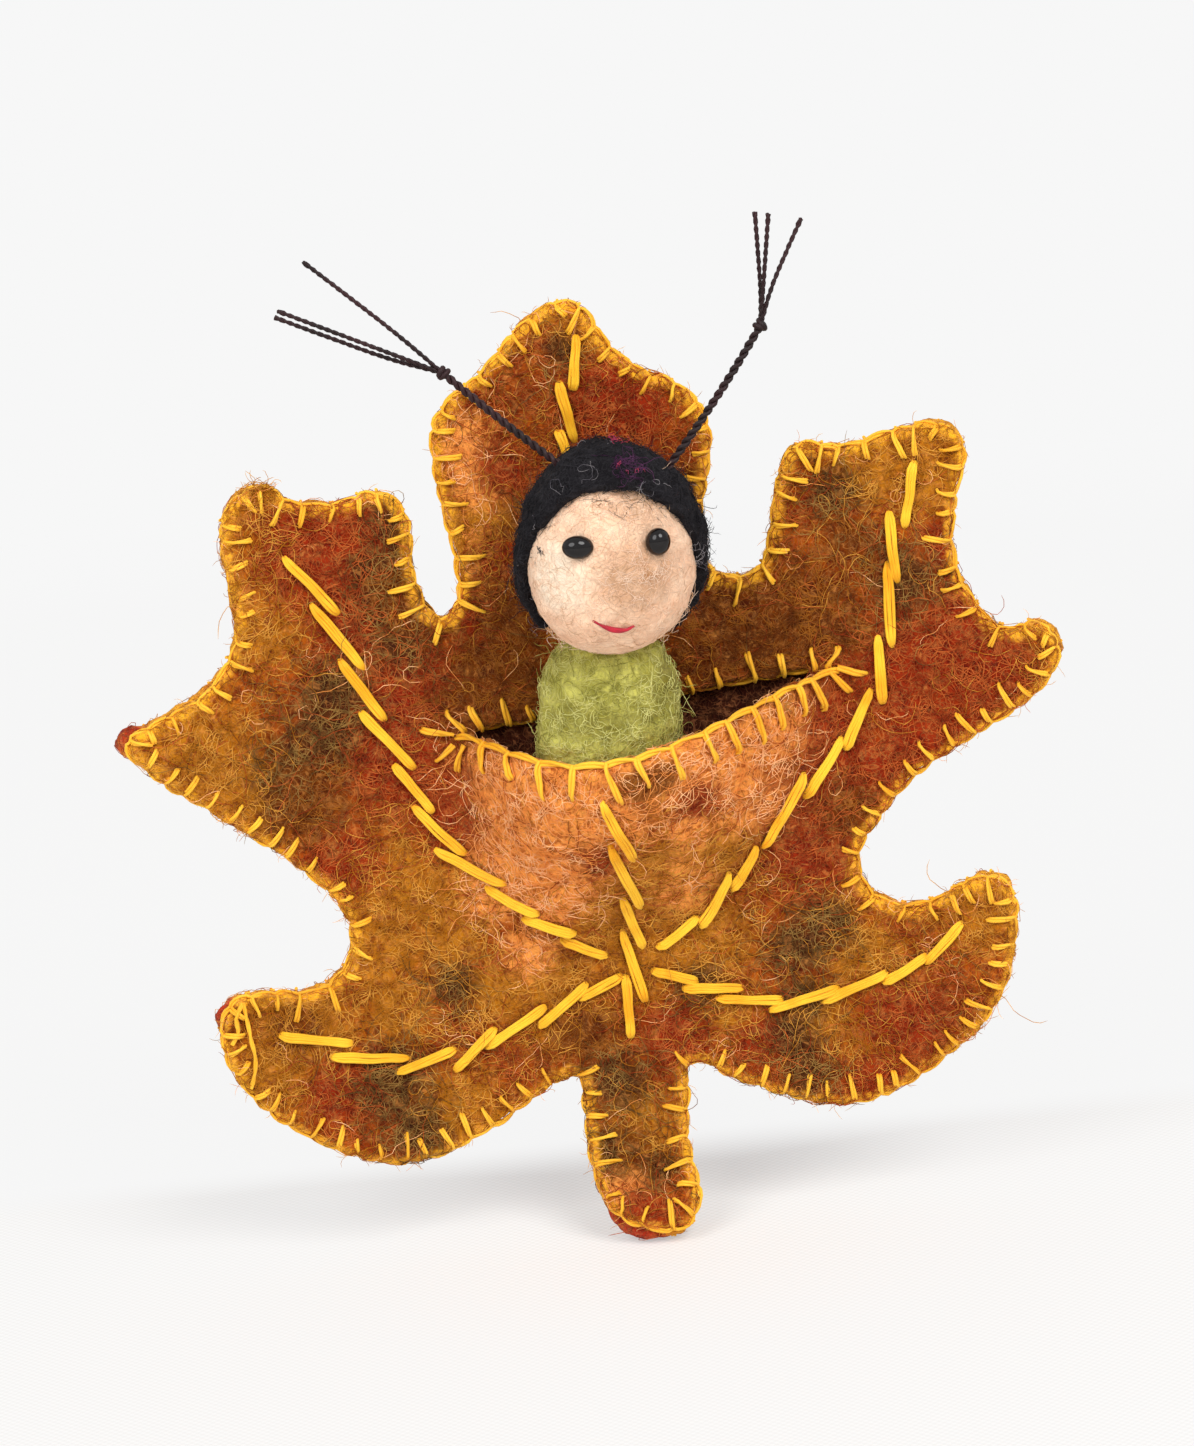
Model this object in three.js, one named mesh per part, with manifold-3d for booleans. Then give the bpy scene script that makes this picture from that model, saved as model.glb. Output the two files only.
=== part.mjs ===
// A hooded felt bug doll in a leaf-shaped felt pouch, in millimetres.
// +X is to the right, +Y away from the viewer and +Z up. The origin is on the flat back of the leaf, where its veins meet.
import * as THREE from 'three';
import { mergeVertices } from 'three/addons/utils/BufferGeometryUtils.js';
import Module from 'manifold-3d';

const wasm = await Module();
wasm.setup();

// Felt, thread and clearance
const FELT = 1.8;
const CLEAR = 0.3;
const RIM_THREAD = 0.8;
const FLOSS = 1.1;

// The line that the rim thread follows, one stretch for each lobe or bay, clockwise from the left notch
const TOP_LOBE = [
  [-16.9, 47.2], [-16.4, 50.5], [-17.3, 58.4], [-18, 65.8], [-17, 70.7], [-11, 75.7], [-4.4, 81.8], [-0.3, 83.3],
  [1.9, 82.2], [3.7, 78.7], [7.7, 74.3], [12.2, 72], [14.8, 69], [15.7, 64.5], [14.3, 58], [13.7, 53.2], [14.2, 48.8],
];
const UPPER_RIGHT_LOBE = [
  [17.3, 47], [20.5, 47.8], [22.2, 51.5], [24, 58.8], [26.3, 62.6], [32, 62.2], [39, 63.7], [44.7, 63.9],
  [46.6, 61.5], [45.3, 55], [44.5, 49.6], [46.2, 42.3], [50.8, 37.8], [53.3, 38.6], [56.2, 36.5], [55.2, 32],
];
const RIGHT_BAY = [
  [48.7, 26.8], [38.4, 20.4], [32.7, 14.8], [29.8, 10.2], [30.2, 6.2], [33, 3.4], [37.7, 2.9], [43, 5.3],
];
const LOWER_RIGHT_LOBE = [
  [46.6, 6], [48.5, 3.8], [48.6, -1], [45.7, -10.2], [37.9, -17.7], [28.7, -22.1], [20, -21.1], [11.6, -17.6],
];
const STEM = [
  [6.6, -15.1], [5.5, -20.1], [5, -25.4], [5.6, -32.3], [3.9, -34.4], [-0.3, -34.3], [-5, -32], [-6.6, -28.3],
  [-7.3, -20], [-7.9, -15.4],
];
const LOWER_LEFT_LOBE = [
  [-11.5, -16.4], [-18.7, -20.8], [-28.7, -24.2], [-37.4, -22.5], [-45.6, -17.1], [-50.4, -10.7], [-51.9, -4],
  [-50.2, -0.7], [-45.9, -0.3], [-39.4, -0.7],
];
const LEFT_BAY = [[-35.8, 1.6], [-34.3, 6.5], [-35.7, 10.7], [-39.5, 15.2], [-50.9, 25.3]];
const UPPER_LEFT_LOBE = [
  [-57.6, 31.6], [-59.2, 34.8], [-55.9, 36.4], [-49.3, 39.3], [-44.6, 45.6], [-44.4, 51.4], [-44.9, 58.2],
  [-44.2, 61.4], [-39.6, 64.3], [-36.6, 62.1], [-31, 61], [-25.2, 61.8], [-22.6, 59.3], [-22.2, 51.6],
  [-20.6, 46.4], [-18.9, 45.1],
];
const STEPS_PER_POINT = 2;

// How the leaf bends: its middle is flat, and its side lobes and stem come forward
const FLAT_HALF_WIDTH = 24;
const LOBE_CURL = 5;
const LOBE_REACH = 32;
const FLAT_BOTTOM = -14;
const STEM_KICK = 8.5;
const STEM_REACH = 20;

// The slit in the front felt, and the pocket that bulges below it
const SLIT_LEFT = [-18, 30.5];
const SLIT_RIGHT = [29, 34.5];
const SLIT_GAP = 0.6;
const POCKET_BULGE = 14;
const POCKET_CENTRE = 1;
const POCKET_DEPTH = 36;
const LIP_DROP = 3;
const CORNER_EASE = 1.25;
const LEFT_FULLNESS = 2.8;
const RIGHT_FULLNESS = 1.9;

// Blanket stitches and vein stitches
const RIM_PITCH = 3.4;
const RIM_LEG = 2.6;
const SLIT_PITCH = 3.7;
const SLIT_LEG = 3.2;
const STITCH_CLEAR = 0.5;
const STITCH_PITCH = 6.6;
const STITCH_LENGTH = 8.4;
const STITCH_SLANT = 0.35;
const VEIN_TOP = [[0.2, 77.6], [-1.2, 72], [-2, 64]];
const VEIN_CENTRE = [[-0.4, 23], [0.6, 14], [0.8, 5], [0.3, -1], [-0.5, -10]];
const VEIN_UPPER_LEFT = [[-37.3, 55.3], [-31, 42], [-25.5, 27.5], [-20, 17], [-11.5, 8], [-3, 1.2]];
const VEIN_UPPER_RIGHT = [[40.3, 59.7], [37, 49], [35, 35], [29, 24], [19, 13.5], [4, 1.2]];
const VEIN_LOWER_LEFT = [[-44.2, -6], [-33, -10.3], [-24, -11], [-14, -7.3], [-1.5, -2.7]];
const VEIN_LOWER_RIGHT = [[3, -2.6], [12, -5.8], [22, -7.7], [32, -5.4], [41.5, 0.2]];

// The doll stands on its own axis through the slit, and leans to the right and forward
const DOLL_FOOT = [0, -10.8, 30];
const DOLL_LEAN = 5.5;
const DOLL_TILT = 10;
const TORSO_HALF_WIDTH = 8.8;
const TORSO_FLATNESS = 0.54;
const TORSO_TOP = 15.5;
const TORSO_BOTTOM = -16;
const SHOULDER_FULLNESS = 3.2;
const SEAT_FULLNESS = 2.5;
const HEAD_RADII = [10.4, 9.5, 11.5];
const HEAD_CROWN = 12.8;
const HEAD_AT = [0, -0.8, 24.2];
const HOOD_WALL = 1.3;
const HOOD_CROWN_WALL = 2.4;
const HOOD_BACK_WALL = 1;
const HOOD_BROW = [-5.9, 12];
const HOOD_CHEEK = [-0.7, -6];
const HOOD_HEM = -9.6;
const LEFT_EYE_RADII = [1.9, 1.3, 1.45];
const LEFT_EYE_AT = [-4.2, 5.15];
const RIGHT_EYE_RADII = [1.5, 1.4, 1.7];
const RIGHT_EYE_AT = [5.05, 5.55];
const EYE_PROUD = 0.4;
const MOUTH_THREAD = 0.7;
const MOUTH = [[-2.6, -4.1], [-1.1, -4.8], [0.4, -5.35], [2.5, -4.95]];

// The antennae: a twisted cord, a knot and three loose strands each, in the leaf's frame
const CORD = 1;
const KNOT = 2;
const STRAND = 0.6;
const ROOT_GAP = 0.6;
const ANTENNA_Y = -15.5;
const LEFT_ROOT = [-6.1, 12.4];
const RIGHT_ROOT = [7.2, 12.6];
const LEFT_KNOT = [-15.6, 78.5];
const RIGHT_KNOT = [22.8, 80.6];
const LEFT_STRAND_ENDS = [[-30.8, -15.5, 93.5], [-34.4, -16.6, 88.1], [-34.9, -14.6, 87]];
const RIGHT_STRAND_ENDS = [[28.7, -15.5, 93], [24.8, -16.6, 94.1], [23.3, -14.6, 94.1]];

// Colours
const RUST = 0x9a4a12;
const RED_FELT = 0xb5302a;
const GOLD = 0xf7c325;
const GREEN = 0xb4be6a;
const SKIN = 0xf2cdb2;
const NAVY = 0x20222b;
const BLACK = 0x120e12;
const MOUTH_RED = 0xc2203a;
const AUBERGINE = 0x2a1418;

// Facets of a ball, round it and from pole to pole
const BALL_ROUND = 24;
const BALL_DOWN = 16;

// Solids and booleans
function toSolid(geometry) {
  const bare = geometry.index ? geometry.toNonIndexed() : geometry.clone();
  bare.deleteAttribute('normal');
  bare.deleteAttribute('uv');
  const merged = mergeVertices(bare, 1e-4);
  return new wasm.Manifold(new wasm.Mesh({
    numProp: 3,
    vertProperties: new Float32Array(merged.attributes.position.array),
    triVerts: new Uint32Array(merged.index.array),
  }));
}

function toGeometry(solid) {
  const mesh = solid.getMesh();
  const geometry = new THREE.BufferGeometry();
  geometry.setAttribute('position', new THREE.BufferAttribute(new Float32Array(mesh.vertProperties), 3));
  geometry.setIndex(new THREE.BufferAttribute(new Uint32Array(mesh.triVerts), 1));
  geometry.computeVertexNormals();
  return geometry;
}

const toVector = (p) => new THREE.Vector3(p[0], p[1], p[2]);

// A round section swept along points, with flat ends
function sweep(points, radius, sides, steps) {
  const section = new THREE.Shape();
  for (let k = 0; k < sides; k += 1) {
    const angle = (2 * Math.PI * k) / sides;
    const at = [radius * Math.cos(angle), radius * Math.sin(angle)];
    if (k === 0) section.moveTo(...at);
    else section.lineTo(...at);
  }
  section.closePath();
  const extrudePath = new THREE.CatmullRomCurve3(points, false, 'centripetal');
  return new THREE.ExtrudeGeometry(section, { steps, extrudePath, bevelEnabled: false });
}

// A round section swept round a closed loop
function loop(points, radius, sides, steps) {
  const path = new THREE.CatmullRomCurve3(points, true, 'centripetal');
  return new THREE.TubeGeometry(path, steps, radius, sides, true);
}

// An ellipsoid whose upper half rises to its own crown radius
function egg(radii, crown, across, down) {
  const ball = new THREE.SphereGeometry(1, across, down);
  ball.rotateX(Math.PI / 2);
  const places = ball.attributes.position;
  for (let k = 0; k < places.count; k += 1) {
    const z = places.getZ(k);
    places.setXYZ(k, places.getX(k) * radii[0], places.getY(k) * radii[1], z * (z > 0 ? crown : radii[2]));
  }
  return ball;
}

// The leaf's line, and the felt's edge inside it
const leafPoints = [
  TOP_LOBE, UPPER_RIGHT_LOBE, RIGHT_BAY, LOWER_RIGHT_LOBE, STEM, LOWER_LEFT_LOBE, LEFT_BAY, UPPER_LEFT_LOBE,
].flat().map(([x, z]) => new THREE.Vector3(x, 0, z));
const leafCurve = new THREE.CatmullRomCurve3(leafPoints, true, 'centripetal');
const line = leafCurve.getPoints(STEPS_PER_POINT * leafPoints.length).slice(1);

const inwardOf = (along) => new THREE.Vector3(along.z, 0, -along.x).normalize();

const inwardAt = line.map((_, k) => {
  const before = line[(k + line.length - 1) % line.length];
  const after = line[(k + 1) % line.length];
  return inwardOf(after.clone().sub(before));
});

const inset = (distance) => line.map((p, k) => p.clone().addScaledVector(inwardAt[k], distance));

// The bend of the leaf, and the bulge and drop of the pocket
const slitLine = (x) => {
  const share = (x - SLIT_LEFT[0]) / (SLIT_RIGHT[0] - SLIT_LEFT[0]);
  return SLIT_LEFT[1] + share * (SLIT_RIGHT[1] - SLIT_LEFT[1]);
};

function curl(x, z) {
  const side = Math.max(0, Math.abs(x) - FLAT_HALF_WIDTH) / LOBE_REACH;
  const low = Math.max(0, FLAT_BOTTOM - z) / STEM_REACH;
  return LOBE_CURL * side ** 2 + STEM_KICK * low ** 2;
}

// How open the slit is at x, from 0 at a corner to 1 at the doll
function openness(x) {
  const onLeft = x < POCKET_CENTRE;
  const corner = onLeft ? SLIT_LEFT[0] : SLIT_RIGHT[0];
  const share = (x - corner) / (POCKET_CENTRE - corner);
  if (share <= 0) return 0;
  const eased = Math.min(1, share) ** CORNER_EASE;
  return 1 - (1 - eased) ** (onLeft ? LEFT_FULLNESS : RIGHT_FULLNESS);
}

function pocketShare(x, below) {
  const t = Math.min(1, Math.max(0, below) / POCKET_DEPTH);
  return openness(x) * (1 - 3 * t ** 2 + 2 * t ** 3);
}

// The surface midway between the two felts. A flat point is x and its height above the slit line.
function leafMiddle(x, above) {
  const z = slitLine(x) + above;
  return new THREE.Vector3(x, -FELT - CLEAR / 2 - curl(x, z), z);
}

// The same surface as the front felt follows it, round the pocket
function frontMiddle(x, above) {
  const share = above < 0 ? pocketShare(x, -above) : 0;
  const point = leafMiddle(x, above);
  point.y -= POCKET_BULGE * share;
  point.z -= LIP_DROP * openness(x) * share;
  return point;
}

// A point at a distance in front of a surface, square to it
function offSurface(surface, x, above, distance) {
  const step = 0.01;
  const upper = above < 0 ? Math.min(above + step, -1e-6) : above + step;
  const alongX = surface(x + step, above).sub(surface(x - step, above));
  const alongZ = surface(x, upper).sub(surface(x, above - step));
  const outward = alongX.cross(alongZ).normalize();
  return surface(x, above).addScaledVector(outward, distance);
}

const FRONT_FACE = CLEAR / 2 + FELT;

const onFront = (x, z, distance) => offSurface(frontMiddle, x, z - slitLine(x), FRONT_FACE + distance);

// The point that lies straight in front of x and z, at a distance off the front felt
const AHEAD_ROUNDS = 5;

function aheadOf(x, z, distance) {
  let point = onFront(x, z, distance);
  let [tryX, tryZ] = [x, z];
  for (let round = 0; round < AHEAD_ROUNDS; round += 1) {
    tryX += x - point.x;
    tryZ += z - point.z;
    point = onFront(tryX, tryZ, distance);
  }
  return point;
}

// A sheet of felt: a grid in the flat, bent by a surface and given its thickness, with a wall at each open edge.
// Its columns are at xs, and its rows at heights above the slit line, with the slit along one row.
function feltSheet(surface, faceDistances, xs, rows, slitRow, slitFrom, slitTo) {
  const ids = new Map();
  const places = [];
  const vertex = (i, j, side) => {
    const lip = j === slitRow && i > slitFrom && i < slitTo ? side : 0;
    const key = `${i},${j},${lip}`;
    if (!ids.has(key)) {
      ids.set(key, places.length);
      places.push([xs[i], rows[j] + (lip * SLIT_GAP) / 2]);
    }
    return ids.get(key);
  };
  const triangles = [];
  for (let j = 0; j + 1 < rows.length; j += 1) {
    const side = j >= slitRow ? 1 : -1;
    for (let i = 0; i + 1 < xs.length; i += 1) {
      const [a, b] = [vertex(i, j, side), vertex(i + 1, j, side)];
      const [c, d] = [vertex(i + 1, j + 1, side), vertex(i, j + 1, side)];
      triangles.push([a, b, c], [a, c, d]);
    }
  }
  const open = new Map();
  triangles.forEach((t) => t.forEach((from, k) => {
    const to = t[(k + 1) % 3];
    if (!open.delete(`${to},${from}`)) open.set(`${from},${to}`, [from, to]);
  }));
  const count = places.length;
  const faces = [];
  triangles.forEach(([a, b, c]) => faces.push(a, b, c, a + count, c + count, b + count));
  open.forEach(([from, to]) => faces.push(to, from, from + count, to, from + count, to + count));
  const positions = [];
  faceDistances.forEach((distance) => places.forEach(([x, above]) => {
    positions.push(...offSurface(surface, x, above, distance).toArray());
  }));
  const geometry = new THREE.BufferGeometry();
  geometry.setAttribute('position', new THREE.BufferAttribute(new Float32Array(positions), 3));
  geometry.setIndex(faces);
  return geometry;
}

// Grid lines from one value to another, no further apart than a step
function lines(from, to, step) {
  const count = Math.max(1, Math.ceil((to - from) / step - 1e-6));
  return Array.from({ length: count + 1 }, (_, k) => from + ((to - from) * k) / count);
}

const join = (...runs) => runs.flat().filter((value, k, all) => k === 0 || value - all[k - 1] > 1e-6);

// The prism that cuts both leaves
function leafPrism(edge) {
  const shape = new THREE.Shape(edge.map((p) => new THREE.Vector2(p.x, p.z)));
  const depth = 2 * (POCKET_BULGE + STEM_KICK + LOBE_CURL);
  const prism = new THREE.ExtrudeGeometry(shape, { depth, bevelEnabled: false, steps: 1 });
  return prism.rotateX(Math.PI / 2).translate(0, depth / 4, 0);
}

const feltEdge = inset(RIM_THREAD / 2 + STITCH_CLEAR);
const low = new THREE.Vector3(Infinity, 0, Infinity);
const high = new THREE.Vector3(-Infinity, 0, -Infinity);
line.forEach((p) => {
  low.min(p);
  high.max(p);
});
const CURL_STEP = 6;
const POCKET_STEP = 3.2;
const prism = toSolid(leafPrism(feltEdge));

// Both felts bend at the same grid lines, so that they lie parallel
const bottom = low.z - slitLine(high.x);
const top = high.z - slitLine(low.x);
const columns = join(
  lines(low.x, -FLAT_HALF_WIDTH, CURL_STEP),
  lines(SLIT_LEFT[0], POCKET_CENTRE, POCKET_STEP),
  lines(POCKET_CENTRE, FLAT_HALF_WIDTH, POCKET_STEP),
  lines(FLAT_HALF_WIDTH, SLIT_RIGHT[0], CURL_STEP),
  lines(SLIT_RIGHT[0], high.x, CURL_STEP),
);
const lowRows = lines(bottom, -POCKET_DEPTH, CURL_STEP);

function backPanel() {
  const faces = [-CLEAR / 2, -FRONT_FACE];
  return toSolid(feltSheet(leafMiddle, faces, columns, join(lowRows, [top]), -1, 0, 0)).intersect(prism);
}

function frontPanel() {
  const faces = [FRONT_FACE, CLEAR / 2];
  const rows = join(lowRows, lines(-POCKET_DEPTH, 0, POCKET_STEP), [top]);
  const slitRow = rows.findIndex((above) => Math.abs(above) < 1e-6);
  const from = columns.findIndex((x) => Math.abs(x - SLIT_LEFT[0]) < 1e-6);
  const to = columns.findIndex((x) => Math.abs(x - SLIT_RIGHT[0]) < 1e-6);
  return toSolid(feltSheet(frontMiddle, faces, columns, rows, slitRow, from, to)).intersect(prism);
}

// The blanket stitch round the rim: one thread along the edge, with a leg over the front at each stitch
function rimThread(radius, place) {
  const sides = 4;
  const positions = [];
  const faces = [];
  const count = line.length;
  line.forEach((p, k) => {
    for (let side = 0; side < sides; side += 1) {
      const angle = (2 * Math.PI * side) / sides;
      const corner = place(p).addScaledVector(inwardAt[k], radius * Math.cos(angle));
      corner.y += radius * Math.sin(angle);
      positions.push(...corner.toArray());
      const next = (side + 1) % sides;
      const [a, b] = [k * sides + side, k * sides + next];
      const [c, d] = [((k + 1) % count) * sides + next, ((k + 1) % count) * sides + side];
      faces.push(a, b, c, a, c, d);
    }
  });
  const geometry = new THREE.BufferGeometry();
  geometry.setAttribute('position', new THREE.BufferAttribute(new Float32Array(positions), 3));
  geometry.setIndex(faces);
  return toSolid(geometry);
}

function edgeStitching() {
  const radius = RIM_THREAD / 2;
  const onRim = (p) => leafMiddle(p.x, p.z - slitLine(p.x));
  const solids = [rimThread(radius, onRim)];
  const count = Math.round(leafCurve.getLength() / RIM_PITCH);
  for (let k = 0; k < count; k += 1) {
    const outer = leafCurve.getPointAt(k / count);
    const inner = outer.clone().addScaledVector(inwardOf(leafCurve.getTangentAt(k / count)), RIM_LEG);
    const overEdge = aheadOf(outer.x, outer.z, STITCH_CLEAR + radius);
    const leg = [onRim(outer), overEdge, aheadOf(inner.x, inner.z, STITCH_CLEAR + radius)];
    solids.push(toSolid(sweep(leg, radius, 3, 3)));
  }
  return wasm.Manifold.union(solids);
}

// The blanket stitch round the slit, on the front of both lips
function slitStitching() {
  const radius = RIM_THREAD / 2;
  const lipAt = 2 * radius;
  const raised = STITCH_CLEAR + radius;
  const span = SLIT_RIGHT[0] - SLIT_LEFT[0];
  const count = Math.round(span / SLIT_PITCH);
  const onLip = (x, above) => offSurface(frontMiddle, x, above, FRONT_FACE + raised);
  const stops = Array.from({ length: 2 * count + 1 }, (_, k) => SLIT_LEFT[0] + (span * k) / (2 * count));
  const lower = stops.map((x) => onLip(x, -lipAt));
  const upper = stops.map((x) => onLip(x, lipAt)).reverse();
  const solids = [toSolid(loop([...lower, ...upper], radius, 4, 2 * stops.length))];
  for (let k = 1; k < count; k += 1) {
    const x = stops[2 * k];
    [-1, 1].forEach((side) => {
      const leg = [0, 0.5, 1].map((share) => onLip(x, side * (lipAt + share * SLIT_LEG)));
      solids.push(toSolid(sweep(leg, radius, 4, 2)));
    });
  }
  return wasm.Manifold.union(solids);
}

// A vein: long stitches along a line, each slanting across it and lapping the next
function vein(points) {
  const path = new THREE.CatmullRomCurve3(points.map(([x, z]) => new THREE.Vector3(x, 0, z)));
  const length = path.getLength();
  const count = Math.max(2, Math.round((length - STITCH_LENGTH) / STITCH_PITCH) + 1);
  const pitch = (length - STITCH_LENGTH) / (count - 1);
  const solids = [];
  for (let k = 0; k < count; k += 1) {
    const stitch = [0, 1 / 3, 2 / 3, 1].map((share) => {
      const at = (k * pitch + share * STITCH_LENGTH) / length;
      const p = path.getPointAt(Math.min(1, at));
      const along = path.getTangentAt(Math.min(1, at));
      const aside = STITCH_SLANT * FLOSS * (1 - 2 * share);
      return onFront(p.x - along.z * aside, p.z + along.x * aside, STITCH_CLEAR + FLOSS / 2);
    });
    solids.push(toSolid(sweep(stitch, FLOSS / 2, 5, 4)));
  }
  return wasm.Manifold.union(solids);
}

// The doll's pieces, in the doll's own frame: x to the right and z up its axis
function headSolid(grow) {
  const radii = HEAD_RADII.map((radius) => radius + grow);
  return toSolid(egg(radii, HEAD_CROWN + grow, BALL_ROUND, BALL_DOWN)).translate(HEAD_AT);
}

function torsoSolid() {
  const middle = (TORSO_TOP + TORSO_BOTTOM) / 2;
  const reach = (TORSO_TOP - TORSO_BOTTOM) / 2;
  const halfWidth = (z) => {
    const share = Math.abs(z - middle) / reach;
    const fullness = z > middle ? SHOULDER_FULLNESS : SEAT_FULLNESS;
    return TORSO_HALF_WIDTH * Math.sqrt(Math.max(0, 1 - share ** fullness));
  };
  const rings = 14;
  const profile = Array.from({ length: rings + 1 }, (_, k) => {
    const z = middle - reach * Math.cos((Math.PI * k) / rings);
    return new THREE.Vector2(k % rings === 0 ? 0 : halfWidth(z), z);
  });
  const body = new THREE.LatheGeometry(profile, BALL_ROUND);
  body.rotateX(Math.PI / 2);
  return toSolid(body.scale(1, TORSO_FLATNESS, 1));
}

// A point on the face at x and z from the head's centre, at a distance off its surface
function onFace(x, z, distance) {
  const [rx, ry] = HEAD_RADII;
  const rz = z > 0 ? HEAD_CROWN : HEAD_RADII[2];
  const y = -ry * Math.sqrt(1 - (x / rx) ** 2 - (z / rz) ** 2);
  const outward = new THREE.Vector3(x / rx ** 2, y / ry ** 2, z / rz ** 2).normalize();
  return new THREE.Vector3(x, y, z).add(toVector(HEAD_AT)).addScaledVector(outward, distance);
}

function eyeSolid(radii, [x, z], grow) {
  const grown = radii.map((radius) => radius + grow);
  return toSolid(egg(grown, grown[2], 12, 8)).translate(onFace(x, z, EYE_PROUD).toArray());
}

function head() {
  const sockets = wasm.Manifold.union([
    eyeSolid(LEFT_EYE_RADII, LEFT_EYE_AT, CLEAR),
    eyeSolid(RIGHT_EYE_RADII, RIGHT_EYE_AT, CLEAR),
  ]);
  return headSolid(0).subtract(sockets);
}

const torso = () => torsoSolid().subtract(headSolid(CLEAR));

// The hood is a shell round the back, top and sides of the head, open at the face and at the neck.
// Its brow, cheek and hem are places measured from the head's centre.
const hoodRadii = [HEAD_RADII[0] + HOOD_WALL, HEAD_RADII[1] + HOOD_BACK_WALL, HEAD_RADII[2] + HOOD_WALL];
const hoodCrown = HEAD_CROWN + HOOD_CROWN_WALL;

function hood() {
  const reach = 3 * hoodCrown;
  const brow = new THREE.BoxGeometry(reach, reach, reach);
  const rise = HOOD_BROW[1] - HOOD_CHEEK[1];
  const run = HOOD_BROW[0] - HOOD_CHEEK[0];
  brow.translate(0, -reach / 2, 0).rotateX(-Math.atan2(run, rise)).translate(0, HOOD_CHEEK[0], HOOD_CHEEK[1]);
  const below = new THREE.BoxGeometry(reach, reach, reach).translate(0, 0, HOOD_HEM - reach / 2);
  return toSolid(egg(hoodRadii, hoodCrown, BALL_ROUND, BALL_DOWN))
    .subtract(toSolid(brow))
    .subtract(toSolid(below))
    .translate(HEAD_AT)
    .subtract(headSolid(CLEAR));
}

function mouth() {
  const radius = MOUTH_THREAD / 2;
  return toSolid(sweep(MOUTH.map(([x, z]) => onFace(x, z, CLEAR + radius)), radius, 5, 8));
}

// The antennae, from a root on the hood to a knot and three strands
const dollTurn = new THREE.Euler(
  THREE.MathUtils.degToRad(DOLL_TILT),
  THREE.MathUtils.degToRad(DOLL_LEAN),
  0,
);
const dollFrame = new THREE.Matrix4().makeRotationFromEuler(dollTurn).setPosition(...DOLL_FOOT);

function rootPoint([x, z]) {
  const rx = hoodRadii[0];
  const rz = hoodCrown;
  const scale = 1 / Math.hypot(x / rx, z / rz);
  const outward = new THREE.Vector3(x / rx ** 2, 0, z / rz ** 2).normalize();
  const onHood = new THREE.Vector3(x * scale, 0, z * scale).add(toVector(HEAD_AT));
  return onHood.addScaledVector(outward, ROOT_GAP).applyMatrix4(dollFrame);
}

function between(a, b, share) {
  return a.clone().lerp(b, share);
}

function antenna(side, root, [knotX, knotZ], ends) {
  const knot = new THREE.Vector3(knotX, ANTENNA_Y, knotZ);
  const start = rootPoint(root);
  const along = knot.clone().sub(start).normalize();
  const cordEnd = knot.clone().addScaledVector(along, -(KNOT / 2 + CLEAR));
  const cord = sweep([start, between(start, cordEnd, 0.5), cordEnd], CORD / 2, 6, 6);
  const ball = new THREE.SphereGeometry(KNOT / 2, 10, 8).translate(...knot.toArray());
  const pieces = [
    [`antenna_${side}_cord`, toSolid(cord)],
    [`antenna_${side}_knot`, toSolid(ball)],
  ];
  ends.forEach((end, k) => {
    const tip = toVector(end);
    const fan = (k - 1) * (STRAND + CLEAR);
    const leave = tip.clone().sub(knot).normalize();
    const first = knot.clone().addScaledVector(leave, KNOT / 2 + CLEAR);
    first.y += fan;
    const strand = sweep([first, between(first, tip, 0.5), tip], STRAND / 2, 5, 6);
    pieces.push([`antenna_${side}_strand_${k + 1}`, toSolid(strand)]);
  });
  return pieces;
}

// The assembly
function piece(name, solid, color, roughness) {
  const material = new THREE.MeshStandardMaterial({ color, roughness, metalness: 0 });
  const mesh = new THREE.Mesh(toGeometry(solid), material);
  mesh.name = name;
  return mesh;
}

const FELT_ROUGHNESS = 0.95;
const FLOSS_ROUGHNESS = 0.6;
const BEAD_ROUGHNESS = 0.15;

const doll = new THREE.Group();
doll.position.set(...DOLL_FOOT);
doll.rotation.copy(dollTurn);
doll.add(
  piece('torso', torso(), GREEN, FELT_ROUGHNESS),
  piece('head', head(), SKIN, FELT_ROUGHNESS),
  piece('hood', hood(), NAVY, FELT_ROUGHNESS),
  piece('eye_left', eyeSolid(LEFT_EYE_RADII, LEFT_EYE_AT, 0), BLACK, BEAD_ROUGHNESS),
  piece('eye_right', eyeSolid(RIGHT_EYE_RADII, RIGHT_EYE_AT, 0), BLACK, BEAD_ROUGHNESS),
  piece('mouth_thread', mouth(), MOUTH_RED, FLOSS_ROUGHNESS),
);

const leaf = new THREE.Group();
leaf.add(
  piece('back_panel', backPanel(), RED_FELT, FELT_ROUGHNESS),
  piece('front_panel', frontPanel(), RUST, FELT_ROUGHNESS),
  piece('edge_stitching', edgeStitching(), GOLD, FLOSS_ROUGHNESS),
  piece('slit_stitching', slitStitching(), GOLD, FLOSS_ROUGHNESS),
  piece('vein_top', vein(VEIN_TOP), GOLD, FLOSS_ROUGHNESS),
  piece('vein_centre', vein(VEIN_CENTRE), GOLD, FLOSS_ROUGHNESS),
  piece('vein_upper_left', vein(VEIN_UPPER_LEFT), GOLD, FLOSS_ROUGHNESS),
  piece('vein_upper_right', vein(VEIN_UPPER_RIGHT), GOLD, FLOSS_ROUGHNESS),
  piece('vein_lower_left', vein(VEIN_LOWER_LEFT), GOLD, FLOSS_ROUGHNESS),
  piece('vein_lower_right', vein(VEIN_LOWER_RIGHT), GOLD, FLOSS_ROUGHNESS),
);

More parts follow.
